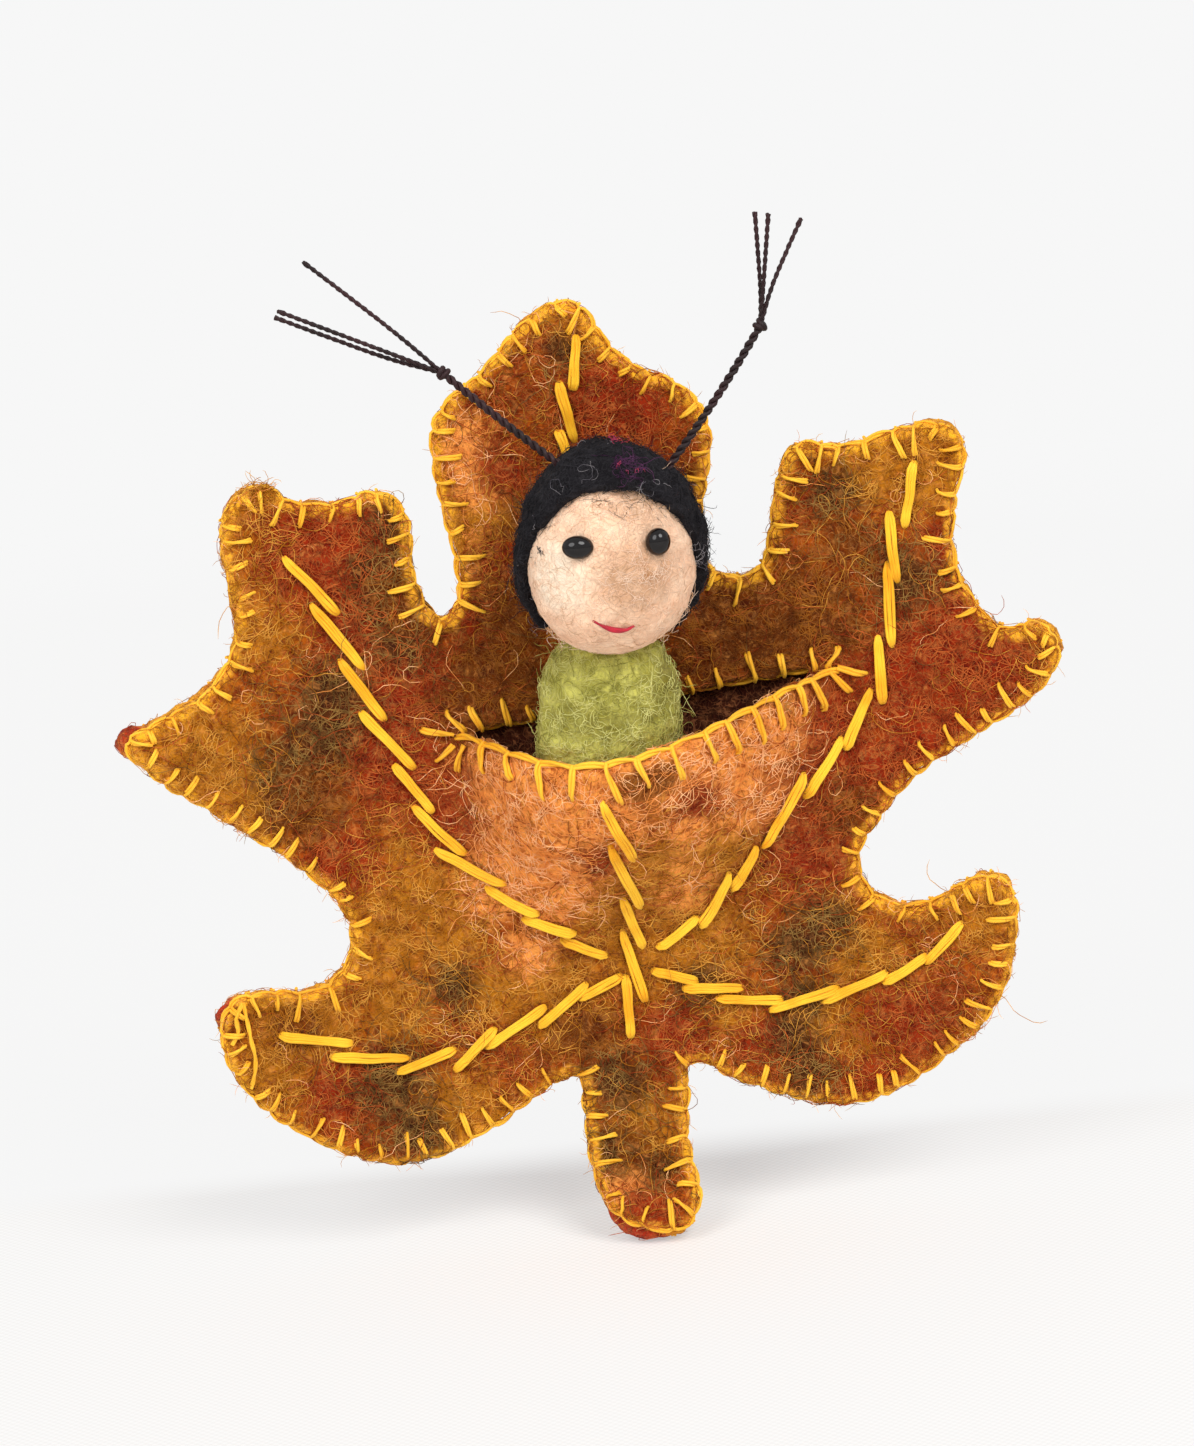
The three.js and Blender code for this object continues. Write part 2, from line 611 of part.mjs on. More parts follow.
const antennae = new THREE.Group();
[
  ['left', LEFT_ROOT, LEFT_KNOT, LEFT_STRAND_ENDS],
  ['right', RIGHT_ROOT, RIGHT_KNOT, RIGHT_STRAND_ENDS],
].forEach(([side, root, knot, ends]) => {
  antenna(side, root, knot, ends).forEach(([name, solid]) => {
    antennae.add(piece(name, solid, AUBERGINE, FLOSS_ROUGHNESS));
  });
});

const group = new THREE.Group();
group.add(leaf, doll, antennae);

export default group;
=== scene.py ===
# %% [markdown]
# A bug doll in a leaf pouch, both made of wool felt.
# The CAD model gives the fixed frame: where each piece is, and which body it moves with.
# Everything here is in metres, with +X to the right, +Y away from the viewer and +Z up.

# %% Load the frame
import math
import random

import bmesh
import bpy
import numpy as np
from mathutils import Matrix, Vector, noise
from mathutils.bvhtree import BVHTree
from mathutils.kdtree import KDTree


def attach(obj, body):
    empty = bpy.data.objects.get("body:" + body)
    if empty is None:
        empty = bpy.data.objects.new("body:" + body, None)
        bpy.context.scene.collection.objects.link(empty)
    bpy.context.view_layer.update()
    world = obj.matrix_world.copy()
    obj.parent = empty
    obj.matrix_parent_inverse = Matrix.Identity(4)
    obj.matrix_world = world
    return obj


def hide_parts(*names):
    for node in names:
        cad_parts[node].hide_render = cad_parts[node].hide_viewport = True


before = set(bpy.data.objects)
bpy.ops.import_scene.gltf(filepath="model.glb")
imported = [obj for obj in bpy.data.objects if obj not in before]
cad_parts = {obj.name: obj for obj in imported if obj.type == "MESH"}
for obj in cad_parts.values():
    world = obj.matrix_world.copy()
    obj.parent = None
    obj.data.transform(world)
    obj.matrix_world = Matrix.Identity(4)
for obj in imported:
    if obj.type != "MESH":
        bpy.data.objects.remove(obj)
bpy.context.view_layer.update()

MM = 0.001

# %% [markdown]
# The camera comes first, because the stitches are placed by what it sees.
# It looks down at the leaf by 15 degrees and is rolled a little, as the photograph was taken.
# A long lens from 65 cm away keeps the leaf's lobes in their true proportions.

# %% Camera
PHOTO_WIDTH = 1194
PHOTO_HEIGHT = 1446
SENSOR = 36
FOCAL_PIXELS = 5200
LOOK_DOWN = math.radians(15)
ROLL = math.radians(5.5)
DISTANCE = 650 * MM
AIM = Vector((-1.23, 0, 29.37)) * MM

forward = Vector((0, math.cos(LOOK_DOWN), -math.sin(LOOK_DOWN)))
level_up = Vector((0, math.sin(LOOK_DOWN), math.cos(LOOK_DOWN)))
right = math.cos(ROLL) * Vector((1, 0, 0)) - math.sin(ROLL) * level_up
up = math.sin(ROLL) * Vector((1, 0, 0)) + math.cos(ROLL) * level_up
eye = AIM - DISTANCE * forward

camera_data = bpy.data.cameras.new("camera")
camera_data.sensor_width = SENSOR
camera_data.lens = FOCAL_PIXELS / PHOTO_HEIGHT * SENSOR
camera = bpy.data.objects.new("camera", camera_data)
camera.matrix_world = Matrix.Translation(eye) @ Matrix((right, up, -forward)).transposed().to_4x4()
bpy.context.scene.collection.objects.link(camera)
bpy.context.scene.camera = camera


def ray_through(px, py):
    """The direction from the camera through a pixel of the photograph."""
    across = (px - PHOTO_WIDTH / 2) / FOCAL_PIXELS
    above = (PHOTO_HEIGHT / 2 - py) / FOCAL_PIXELS
    return (forward + across * right + above * up).normalized()


print("camera at", [round(v, 4) for v in eye], "lens", round(camera_data.lens, 2))

# %% [markdown]
# Every finish is a small net of shader nodes.
# One function adds a node with its settings and links, and one turns an sRGB hex colour to linear.

# %% Helpers for materials
def linear(colour, alpha=1):
    """An sRGB hex colour as linear red, green, blue and alpha."""
    parts = [int(colour[k : k + 2], 16) / 255 for k in (1, 3, 5)]
    return [c / 12.92 if c <= 0.04045 else ((c + 0.055) / 1.055) ** 2.4 for c in parts] + [alpha]


def add(tree, kind, inputs=None, **settings):
    """Adds a node. inputs maps a socket's name or number to a value, or to the socket that feeds it."""
    made = tree.nodes.new("ShaderNode" + kind)
    for name, value in settings.items():
        setattr(made, name, value)
    for name, value in (inputs or {}).items():
        if isinstance(value, bpy.types.NodeSocket):
            tree.links.new(value, made.inputs[name])
        else:
            made.inputs[name].default_value = value
    return made


def new_material(name, roughness, **scalars):
    """A material and its tree, with the plain numbers of the shader set on its own sockets."""
    material = bpy.data.materials.new(name)
    material.use_nodes = True
    shader = material.node_tree.nodes["Principled BSDF"]
    shader.inputs["Roughness"].default_value = roughness
    for label, value in scalars.items():
        shader.inputs[label.replace("_", " ")].default_value = value
    return material, material.node_tree, shader


def blend_colours(tree, share, first, second, how="MIX"):
    """One colour mixed into another by a share. Each may be a socket or a hex colour."""
    first, second = (linear(c) if isinstance(c, str) else c for c in (first, second))
    return add(tree, "Mix", {0: share, 6: first, 7: second}, data_type="RGBA", blend_type=how).outputs[2]


def ramp(tree, value, low, high, to_low=0.0, to_high=1.0):
    """A smooth step of a value from low to high."""
    ends = {"Value": value, 1: low, 2: high, 3: to_low, 4: to_high}
    return add(tree, "MapRange", ends, interpolation_type="SMOOTHSTEP").outputs[0]


def calc(tree, operation, *values):
    """The result of a maths node on numbers or sockets."""
    return add(tree, "Math", dict(enumerate(values)), operation=operation).outputs[0]


def apart_from(tree, place, centre):
    """The distance from a place to a centre."""
    return add(tree, "VectorMath", {0: place, 1: centre}, operation="DISTANCE").outputs["Value"]


def lumps(tree, place, size, detail, roughness=0.5, distortion=0.0):
    """Noise with lumps of a size, as a number round a half."""
    inputs = {"Vector": place, "Scale": 1 / size, "Detail": detail, "Roughness": roughness, "Distortion": distortion}
    return add(tree, "TexNoise", inputs).outputs["Fac"]


def object_place(tree):
    """The object's own coordinates."""
    return add(tree, "TexCoord").outputs["Object"]


# %% [markdown]
# Wool felt is a mat of curly fibres, each about a thirtieth of a millimetre thick.
# Real fibres are too fine for the picture, so the mat is drawn with threads of about 0.15 mm.
# Smooth noise has a value everywhere, and the places where it passes a level are long curling lines, as on a map of
# hills. Three such maps with hills of different sizes lie over each other, and they raise the surface a little as well.

# %% The felt's web of fibres
CURLS = [(3.4 * MM, 7), (2.2 * MM, 6), (1.3 * MM, 4)]
WEB_SHIFT = (0.031, 0.017, 0.023)
FIBRE_SHARE = 0.1
WEB_IN_BUMP = 0.35


def fibre_web(tree):
    """A mask that is 1 on the fibres of three curling webs, and the object's own coordinates."""
    place = object_place(tree)
    web = None
    for k, (size, levels) in enumerate(CURLS):
        shift = add(tree, "VectorMath", {0: place, 1: [k * s for s in WEB_SHIFT]}, operation="ADD").outputs[0]
        hills = lumps(tree, shift, size, 1.0, distortion=0.8)
        level = calc(tree, "PINGPONG", calc(tree, "MULTIPLY", hills, levels), 0.5)
        lines = ramp(tree, level, 0, FIBRE_SHARE, 1.0, 0.0)
        web = lines if web is None else calc(tree, "MAXIMUM", web, lines)
    return web, place


def raise_fibres(tree, shader, web, place, grain, height):
    """Bump from the web and from a fine grain between the fibres."""
    both = calc(tree, "MULTIPLY_ADD", web, WEB_IN_BUMP, lumps(tree, place, grain, 4.0, 0.65))
    bump = add(tree, "Bump", {"Strength": 0.9, "Distance": height, "Height": both})
    tree.links.new(bump.outputs[0], shader.inputs["Normal"])


# %% [markdown]
# The leaf's felt is hand dyed wool: rust, with drifts of ochre, deep red, orange, umber and dark olive.
# The drifts are painted on the mesh as colour attributes, one channel for each colour, and noise frays their borders.
# Some orange drifts are also painted light on the pocket's bulge, and some umber drifts are painted shadow behind
# the doll's neck and under the slit's lip. The second attribute also paints a gold glow of light along the rim,
# painted shade in the pinholes where threads enter and painted shadow inside the pocket.
# Lumps of noise get painted shade, as in the wool's hollows, and pale curly fibres lie on top.

# %% Hand dyed leaf felt
OCHRE = "#B87414"
DEEP_RED = "#902406"
# Orange is a dye of the wool, and also painted light on the pocket's bulge.
ORANGE_AND_LIGHT = "#FFA44C"
OLIVE = "#3E2208"
# Umber is a dye of the wool, and also painted shadow behind the doll's neck and under the slit's lip.
UMBER_AND_SHADOW = "#6C3202"
# Painted light and shade: a gold glow along the rim, shade in the pinholes, shadow inside the pocket and shade in the
# wool's hollows.
PAINTED_RIM_GLOW = "#F8B228"
PAINTED_PINHOLE_SHADE = "#2E1206"
PAINTED_POCKET_SHADOW = "#200D05"
PAINTED_HOLLOW_SHADE = "#AC8468"


def dyed_felt_with_painted_light(name, ground, ground_light, fibre):
    """Wool with drifts of dye, painted light and painted shade. The last colour is the one that its loose fibres lean
    to.
    """
    material, tree, shader = new_material(name, 0.95, Sheen_Weight=0.04, Sheen_Roughness=0.6, Specular_IOR_Level=0.06)
    web, place = fibre_web(tree)
    tuft = lumps(tree, place, 1.8 * MM, 4.0, 0.7)
    drift = ramp(tree, lumps(tree, place, 7 * MM, 5.0, 0.62), 0.4, 0.6)
    colour = blend_colours(tree, drift, ground, ground_light)
    dyes_and_light, marks = (add(tree, "Attribute", attribute_name=name).outputs for name in ("dyes_and_light", "marks"))
    dye_and_light_parts, mark_parts = (add(tree, "SeparateColor", {0: found["Color"]}).outputs for found in (dyes_and_light, marks))
    fray = calc(tree, "MULTIPLY_ADD", tuft, 1.1, -0.55)
    # Orange is partly painted light and umber partly painted shadow; the rim's gold is a painted glow and the pocket's
    # inside a painted shadow.
    channels = [
        (dye_and_light_parts[1], OCHRE), (dyes_and_light["Alpha"], ORANGE_AND_LIGHT), (dye_and_light_parts[2], DEEP_RED), (dye_and_light_parts[0], OLIVE),
        (mark_parts[2], UMBER_AND_SHADOW), (mark_parts[0], PAINTED_RIM_GLOW), (marks["Alpha"], PAINTED_POCKET_SHADOW),
    ]
    for amount, dye_and_light in channels:
        share = ramp(tree, calc(tree, "ADD", amount, fray), 0.12, 0.8, 0.0, 0.92)
        colour = blend_colours(tree, share, colour, dye_and_light)
    # Painted shade in lumps of noise, as in the wool's hollows.
    hollow_shade = ramp(tree, lumps(tree, place, 1.1 * MM, 4.0, 0.7), 0.36, 0.55, 0.9, 0.0)
    colour = blend_colours(tree, hollow_shade, colour, PAINTED_HOLLOW_SHADE, "MULTIPLY")
    for share in (ramp(tree, tuft, 0.5, 0.68, 0.0, 0.2), calc(tree, "MULTIPLY", web, 0.26)):
        colour = blend_colours(tree, share, colour, fibre)
    # Painted shade in the pinholes where threads enter.
    holes = ramp(tree, mark_parts[1], 0.25, 0.85, 0.0, 0.9)
    tree.links.new(blend_colours(tree, holes, colour, PAINTED_PINHOLE_SHADE), shader.inputs["Base Color"])
    raise_fibres(tree, shader, web, place, 0.5 * MM, 0.25 * MM)
    return material


leaf_felt = dyed_felt_with_painted_light("hand_dyed_rust_felt_with_painted_light", "#8A3604", "#AC500C", "#F2A050")
back_leaf_felt = dyed_felt_with_painted_light("hand_dyed_red_felt_with_painted_light", "#B0341C", "#CC5230", "#E6925C")
print("leaf felt nodes:", len(leaf_felt.node_tree.nodes))

# %% [markdown]
# The doll's wool is needle felted: loose wool stabbed until it mats into a firm ball.
# Its surface is the same web, and each colour of wool has its own lighter and darker fibres.
# The green wool has painted shade at its right side, low down by the pocket's lip and under the chin.

# %% Needle felted wool
def plain_felt(name, ground, shade, fibre, web_share, patch=3.5 * MM, sheen=0.08, tints=()):
    """Felted wool. Each tint is a soft ball of colour, such as painted shade: its centre, reach in mm, colour and
    greatest share.
    """
    material, tree, shader = new_material(name, 0.92, Sheen_Weight=sheen, Sheen_Roughness=0.5, Specular_IOR_Level=0.08)
    web, place = fibre_web(tree)
    colour = blend_colours(tree, ramp(tree, lumps(tree, place, patch, 5.0, 0.65), 0.4, 0.65), ground, shade)
    fine = ramp(tree, lumps(tree, place, 0.45 * MM, 3.0, 0.7), 0.3, 0.55, 0.5, 0.0)
    colour = blend_colours(tree, fine, colour, shade)
    colour = blend_colours(tree, calc(tree, "MULTIPLY", web, web_share), colour, fibre)
    raise_fibres(tree, shader, web, place, 0.45 * MM, 0.22 * MM)
    blot = lumps(tree, place, 1.7 * MM, 4.0, 0.65)
    for centre, reach, tint, most in tints:
        near = ramp(tree, apart_from(tree, place, centre), 0.25 * reach * MM, reach * MM, most, 0.0)
        colour = blend_colours(tree, calc(tree, "MULTIPLY", near, blot), colour, tint)
    tree.links.new(colour, shader.inputs["Base Color"])
    return material


# Painted shade on the torso: each spot is a centre in mm, a reach in mm and its greatest share.
PAINTED_TORSO_SHADE = "#5E5014"
TORSO_SHADE_SPOTS = [
    ((8.4, -14.2, 38), 5, 1.2), ((4.5, -16, 34), 4.5, 0.7), ((-4.5, -16, 34.3), 4.5, 0.8), ((0, -16.3, 33), 4, 0.8),
    ((-6, -14.3, 42), 3.5, 1.2),
]
torso_shade_tints = [(Vector(centre) * MM, reach, PAINTED_TORSO_SHADE, most) for centre, reach, most in TORSO_SHADE_SPOTS]
green_felt = plain_felt("green_needle_felt", "#CEC866", "#A29C42", "#DEDA88", 0.22, 2.2 * MM, tints=torso_shade_tints)
navy_felt = plain_felt("navy_needle_felt", "#201E21", "#121013", "#38363A", 0.45, sheen=0.02)


# %% [markdown]
# The stitches are stranded cotton, a soft twisted thread with a faint shine.
# Fine streaks along each strand come from the tube's own UV map, squeezed across and stretched along.

# %% Threads and beads
STREAKS = 2.2


def cotton(name, light, dark, roughness=0.55, sheen=0.3):
    """Twisted cotton, streaked along its strands."""
    numbers = {"Sheen_Weight": sheen, "Sheen_Roughness": 0.4, "Specular_IOR_Level": 0.25}
    material, tree, shader = new_material(name, roughness, **numbers)
    place = add(tree, "TexCoord").outputs
    along = add(tree, "Mapping", {"Vector": place["UV"], "Scale": (2.0, 9.0, 1.0)}).outputs[0]
    streak = lumps(tree, along, 1 / STREAKS, 3.0, 0.6)
    both = calc(tree, "ADD", streak, lumps(tree, place["Object"], 7 * MM, 2.0))
    tree.links.new(blend_colours(tree, ramp(tree, both, 0.75, 1.2), dark, light), shader.inputs["Base Color"])
    bump = add(tree, "Bump", {"Strength": 0.6, "Distance": 0.08 * MM, "Height": streak})
    tree.links.new(bump.outputs[0], shader.inputs["Normal"])
    return material


gold_cotton = cotton("golden_stranded_cotton", "#FDC62E", "#E8A010", sheen=0.12)
gold_sewing = cotton("golden_sewing_cotton", "#FDC234", "#E8A21A", sheen=0.08)
red_cotton = cotton("red_sewing_thread", "#C42338", "#8C1526")
dark_thread = cotton("waxed_dark_thread", "#33171A", "#150808", 0.5, 0.05)


def bead_glass():
    """Black seed bead glass: smooth and dark, so that it shows mostly the lights."""
    material, tree, shader = new_material("black_bead_glass", 0.09, IOR=1.5, Specular_IOR_Level=0.3)
    haze = lumps(tree, object_place(tree), 0.8 * MM, 3.0)
    tree.links.new(blend_colours(tree, haze, "#080607", "#141011"), shader.inputs["Base Color"])
    tree.links.new(ramp(tree, haze, 0.4, 0.7, 0.05, 0.14), shader.inputs["Roughness"])
    return material


bead_black = bead_glass()


def wool_fibre(name, colour, lighter):
    """The wool of loose fibres. Neighbouring fibres differ a little, by noise over the object's place."""
    material, tree, shader = new_material(name, 0.75, Sheen_Weight=0.03, Specular_IOR_Level=0.1)
    tone = ramp(tree, lumps(tree, object_place(tree), 2.5 * MM, 2.0), 0.35, 0.65)
    tree.links.new(blend_colours(tree, tone, colour, lighter), shader.inputs["Base Color"])
    return material


# %% [markdown]
# The leaf is two layers of felt cut to one outline.
# The same bend as in the CAD model places every point: the middle is flat, the lobes and the stem come forward,
# and below the slit the front layer bulges into a pocket.

# %% The leaf's surface
FELT = 1.8 * MM
CLEAR = 0.3 * MM
FLAT_HALF_WIDTH = 24 * MM
LOBE_CURL = 5 * MM
LOBE_REACH = 32 * MM
FLAT_BOTTOM = -14 * MM
STEM_KICK = 8.5 * MM
STEM_REACH = 20 * MM
SLIT_LEFT = (-18 * MM, 30.5 * MM)
SLIT_RIGHT = (29 * MM, 34.5 * MM)
SLIT_GAP = 0.6 * MM
POCKET_BULGE = 14 * MM
POCKET_CENTRE = 1 * MM
POCKET_DEPTH = 36 * MM
LIP_DROP = 3 * MM
CORNER_EASE = 1.25
LEFT_FULLNESS = 2.8
RIGHT_FULLNESS = 1.9
FRONT_FACE = CLEAR / 2 + FELT
TANGENT_STEP = 0.02 * MM


def slit_line(x):
    """The height of the slit's middle at x."""
    share = (x - SLIT_LEFT[0]) / (SLIT_RIGHT[0] - SLIT_LEFT[0])
    return SLIT_LEFT[1] + share * (SLIT_RIGHT[1] - SLIT_LEFT[1])


def curl(x, z):
    """How far the lobes and the stem come forward."""
    side = max(0, abs(x) - FLAT_HALF_WIDTH) / LOBE_REACH
    low = max(0, FLAT_BOTTOM - z) / STEM_REACH
    return LOBE_CURL * side**2 + STEM_KICK * low**2


def openness(x):
    """How open the slit is at x, from 0 at a corner to 1 at the doll."""
    on_left = x < POCKET_CENTRE
    corner = SLIT_LEFT[0] if on_left else SLIT_RIGHT[0]
    share = (x - corner) / (POCKET_CENTRE - corner)
    if share <= 0:
        return 0
    return 1 - (1 - min(1, share) ** CORNER_EASE) ** (LEFT_FULLNESS if on_left else RIGHT_FULLNESS)


def pocket_share(x, z):
    """How much of its bulge the pocket has at a point: most at the lip, none at the pocket's bottom."""
    t = min(1, max(0, slit_line(x) - z) / POCKET_DEPTH)
    return openness(x) * (1 - 3 * t**2 + 2 * t**3)


def leaf_point(x, z, distance, in_pocket):
    """A point at a distance in front of the surface midway between the felts, square to it."""

    def place(x, z):
        share = pocket_share(x, z) if in_pocket else 0
        middle = Vector((x, -FELT - CLEAR / 2 - curl(x, z), z))
        return middle - share * Vector((0, POCKET_BULGE, LIP_DROP * openness(x)))

    step = TANGENT_STEP
    down = place(x, z) - place(x, z - step) if in_pocket else place(x, z + step) - place(x, z)
    outward = (place(x + step, z) - place(x - step, z)).cross(down).normalized()
    return place(x, z) + distance * outward


# %% [markdown]
# The outline is a Bezier curve with automatic handles through the points that the rim thread follows.
# Lobe by lobe, the points run clockwise from the left notch.

# %% The leaf's outline
OUTLINE = {
    "top_lobe": [
        (-16.9, 47.2), (-16.4, 50.5), (-17.3, 58.4), (-18, 65.8), (-17, 70.7), (-11, 75.7), (-4.4, 81.8),
        (-0.3, 83.3), (1.9, 82.2), (3.7, 78.7), (7.7, 74.3), (12.2, 72), (14.8, 69), (15.7, 64.5), (14.3, 58),
        (13.7, 53.2), (14.2, 48.8),
    ],
    "upper_right_lobe": [
        (17.3, 47), (20.5, 47.8), (22.2, 51.5), (24, 58.8), (26.3, 62.6), (32, 62.2), (39, 63.7), (44.7, 63.9),
        (46.6, 61.5), (45.3, 55), (44.5, 49.6), (46.2, 42.3), (50.8, 37.8), (53.3, 38.6), (56.2, 36.5), (55.2, 32),
    ],
    "right_bay": [
        (48.7, 26.8), (38.4, 20.4), (32.7, 14.8), (29.8, 10.2), (30.2, 6.2), (33, 3.4), (37.7, 2.9), (43, 5.3),
    ],
    "lower_right_lobe": [
        (46.6, 6), (48.5, 3.8), (48.6, -1), (45.7, -10.2), (37.9, -17.7), (28.7, -22.1), (20, -21.1), (11.6, -17.6),
    ],
    "stem": [
        (6.6, -15.1), (5.5, -20.1), (5, -25.4), (5.6, -32.3), (3.9, -34.4), (-0.3, -34.3), (-5, -32),
        (-6.6, -28.3), (-7.3, -20), (-7.9, -15.4),
    ],
    "lower_left_lobe": [
        (-11.5, -16.4), (-18.7, -20.8), (-28.7, -24.2), (-37.4, -22.5), (-45.6, -17.1), (-50.4, -10.7),
        (-51.9, -4), (-50.2, -0.7), (-45.9, -0.3), (-39.4, -0.7),
    ],
    "left_bay": [(-35.8, 1.6), (-34.3, 6.5), (-35.7, 10.7), (-39.5, 15.2), (-50.9, 25.3)],
    "upper_left_lobe": [
        (-57.6, 31.6), (-59.2, 34.8), (-55.9, 36.4), (-49.3, 39.3), (-44.6, 45.6), (-44.4, 51.4), (-44.9, 58.2),
        (-44.2, 61.4), (-39.6, 64.3), (-36.6, 62.1), (-31, 61), (-25.2, 61.8), (-22.6, 59.3), (-22.2, 51.6),
        (-20.6, 46.4), (-18.9, 45.1),
    ],
}
outline_points = [Vector((x, 0, z)) * MM for lobe in OUTLINE.values() for x, z in lobe]
CURVE_STEPS = 5


def bezier_through(points, cyclic, steps):
    """Points along a Bezier curve with automatic handles through the given ones."""
    curve = bpy.data.curves.new("line", "CURVE")
    curve.dimensions = "3D"
    curve.resolution_u = steps
    spline = curve.splines.new("BEZIER")
    spline.bezier_points.add(len(points) - 1)
    spline.use_cyclic_u = cyclic
    for knot, point in zip(spline.bezier_points, points):
        knot.co = point
        knot.handle_left_type = knot.handle_right_type = "AUTO"
    holder = bpy.data.objects.new("line", curve)
    mesh = bpy.data.meshes.new_from_object(holder)
    found = [v.co.copy() for v in mesh.vertices]
    bpy.data.objects.remove(holder)
    bpy.data.meshes.remove(mesh)
    bpy.data.curves.remove(curve)
    return found


outline = bezier_through(outline_points, True, CURVE_STEPS)
print("outline points:", len(outline))


def inward_at(k):
    """The direction into the leaf at an outline point."""
    along = outline[(k + 1) % len(outline)] - outline[k - 1]
    return Vector((along.z, 0, -along.x)).normalized()


# %% [markdown]
# A felt layer starts flat: the outline is filled with triangles, and bisect planes lay a grid over it.
# Then its points move onto the bent surface, Solidify gives it the felt's thickness, and a voxel remesh
# turns it into even faces with soft edges, as a pair of shears leaves them in thick felt.

# %% Helpers for meshes
def finish_object(name, mesh, material, smooth=True):
    """A mesh object at the origin, with its materials and smooth faces."""
    made = bpy.data.objects.new(name, mesh)
    bpy.context.scene.collection.objects.link(made)
    for m in material if isinstance(material, list) else [material]:
        mesh.materials.append(m)
    if smooth:
        mesh.polygons.foreach_set("use_smooth", [True] * len(mesh.polygons))
    return made


def object_of(name, bm, material, smooth=True):
    """Turns a bmesh into an object."""
    mesh = bpy.data.meshes.new(name)
    bm.to_mesh(mesh)
    bm.free()
    return finish_object(name, mesh, material, smooth)


def kd_tree(points):
    """A tree that finds the nearest of some points."""
    tree = KDTree(len(points))
    for k, p in enumerate(points):
        tree.insert(p, k)
    tree.balance()
    return tree


def tree_of(piece):
    """A tree that finds places on a piece's surface."""
    depsgraph = bpy.context.evaluated_depsgraph_get()
    bpy.context.view_layer.update()
    return BVHTree.FromObject(piece, depsgraph)


def apply_modifiers(piece):
    """Bakes a piece's modifiers into its mesh."""
    bpy.context.view_layer.update()
    depsgraph = bpy.context.evaluated_depsgraph_get()
    mesh = bpy.data.meshes.new_from_object(piece.evaluated_get(depsgraph))
    old = piece.data
    piece.modifiers.clear()
    piece.data = mesh
    bpy.data.meshes.remove(old)
    mesh.polygons.foreach_set("use_smooth", [True] * len(mesh.polygons))


def soften(piece, voxel, smoothings):
    """Remeshes a closed piece into even faces and rounds its edges."""
    remesh = piece.modifiers.new("remesh", "REMESH")
    remesh.mode = "VOXEL"
    remesh.voxel_size = voxel
    smooth = piece.modifiers.new("smooth", "SMOOTH")
    smooth.iterations = smoothings
    apply_modifiers(piece)


def points_of(mesh):
    """A mesh's points and normals as arrays."""
    points = np.zeros(len(mesh.vertices) * 3, np.float32)
    normals = np.zeros(len(mesh.vertices) * 3, np.float32)
    mesh.vertices.foreach_get("co", points)
    mesh.vertex_normals.foreach_get("vector", normals)
    return points.reshape(-1, 3), normals.reshape(-1, 3)


def lift_points(piece, rise):
    """Moves each point along its normal by what rise(point) says."""
    points, normals = points_of(piece.data)
    rises = np.array([rise(Vector(p)) for p in points], np.float32)
    piece.data.vertices.foreach_set("co", (points + rises[:, None] * normals).ravel())
    piece.data.update()


def roughen(piece, layers):
    """Raises lumps of noise on a piece. Each layer is a size of lump and a height, in millimetres."""
    lift_points(piece, lambda p: sum(height * MM * noise.noise(p / (size * MM)) for size, height in layers))


def faces_front(places, normals):
    return normals[:, 1] < -0.3


def faces_back(places, normals):
    return normals[:, 1] > 0.3


# %% Cut and bend a felt layer
GRID = 1.6 * MM
ON_LINE = 1e-6


def everything_in(bm):
    """All of a bmesh, as the bisect operator takes it."""
    return bm.verts[:] + bm.edges[:] + bm.faces[:]


def flat_leaf(edge, with_slit):
    """The flat layer as a bmesh with a grid of edges, cut open along the slit if it has one."""
    bm = bmesh.new()
    verts = [bm.verts.new(p) for p in edge]
    for k, v in enumerate(verts):
        bm.edges.new((verts[k - 1], v))
    bmesh.ops.triangle_fill(bm, edges=bm.edges, use_beauty=True, normal=(0, -1, 0))
    for axis, normal in ((0, Vector((1, 0, 0))), (2, Vector((0, 0, 1)))):
        low = min(p[axis] for p in edge)
        high = max(p[axis] for p in edge)
        for k in range(1, int((high - low) / GRID)):
            place = (low + k * GRID) * normal
            bmesh.ops.bisect_plane(bm, geom=everything_in(bm), plane_co=place, plane_no=normal)
    if with_slit:
        along = Vector((SLIT_RIGHT[0] - SLIT_LEFT[0], 0, SLIT_RIGHT[1] - SLIT_LEFT[1]))
        across = Vector((-along.z, 0, along.x)).normalized()
        corner = Vector((SLIT_LEFT[0], 0, SLIT_LEFT[1]))
        bmesh.ops.bisect_plane(bm, geom=everything_in(bm), plane_co=corner, plane_no=across)
        on_line = [
            e for e in bm.edges
            if all(abs((v.co - corner).dot(across)) < ON_LINE for v in e.verts)
            and all(SLIT_LEFT[0] < v.co.x < SLIT_RIGHT[0] for v in e.verts)
        ]
        bmesh.ops.split_edges(bm, edges=on_line)
        print("slit edges:", len(on_line))
    return bm


def bend_leaf(bm, distance, with_slit):
    """Moves the flat layer's points onto the bent surface, and parts the slit's two lips."""
    pocket = set()
    if with_slit:
        for f in bm.faces:
            centre = f.calc_center_median()
            if centre.z < slit_line(centre.x):
                pocket.update(f.verts)
    for v in bm.verts:
        x, z = v.co.x, v.co.z
        in_pocket = v in pocket
        if with_slit and v.is_boundary and abs(z - slit_line(x)) < ON_LINE and openness(x) > 0:
            z += (-1 if in_pocket else 1) * SLIT_GAP / 2
        v.co = leaf_point(x, z, distance, in_pocket)


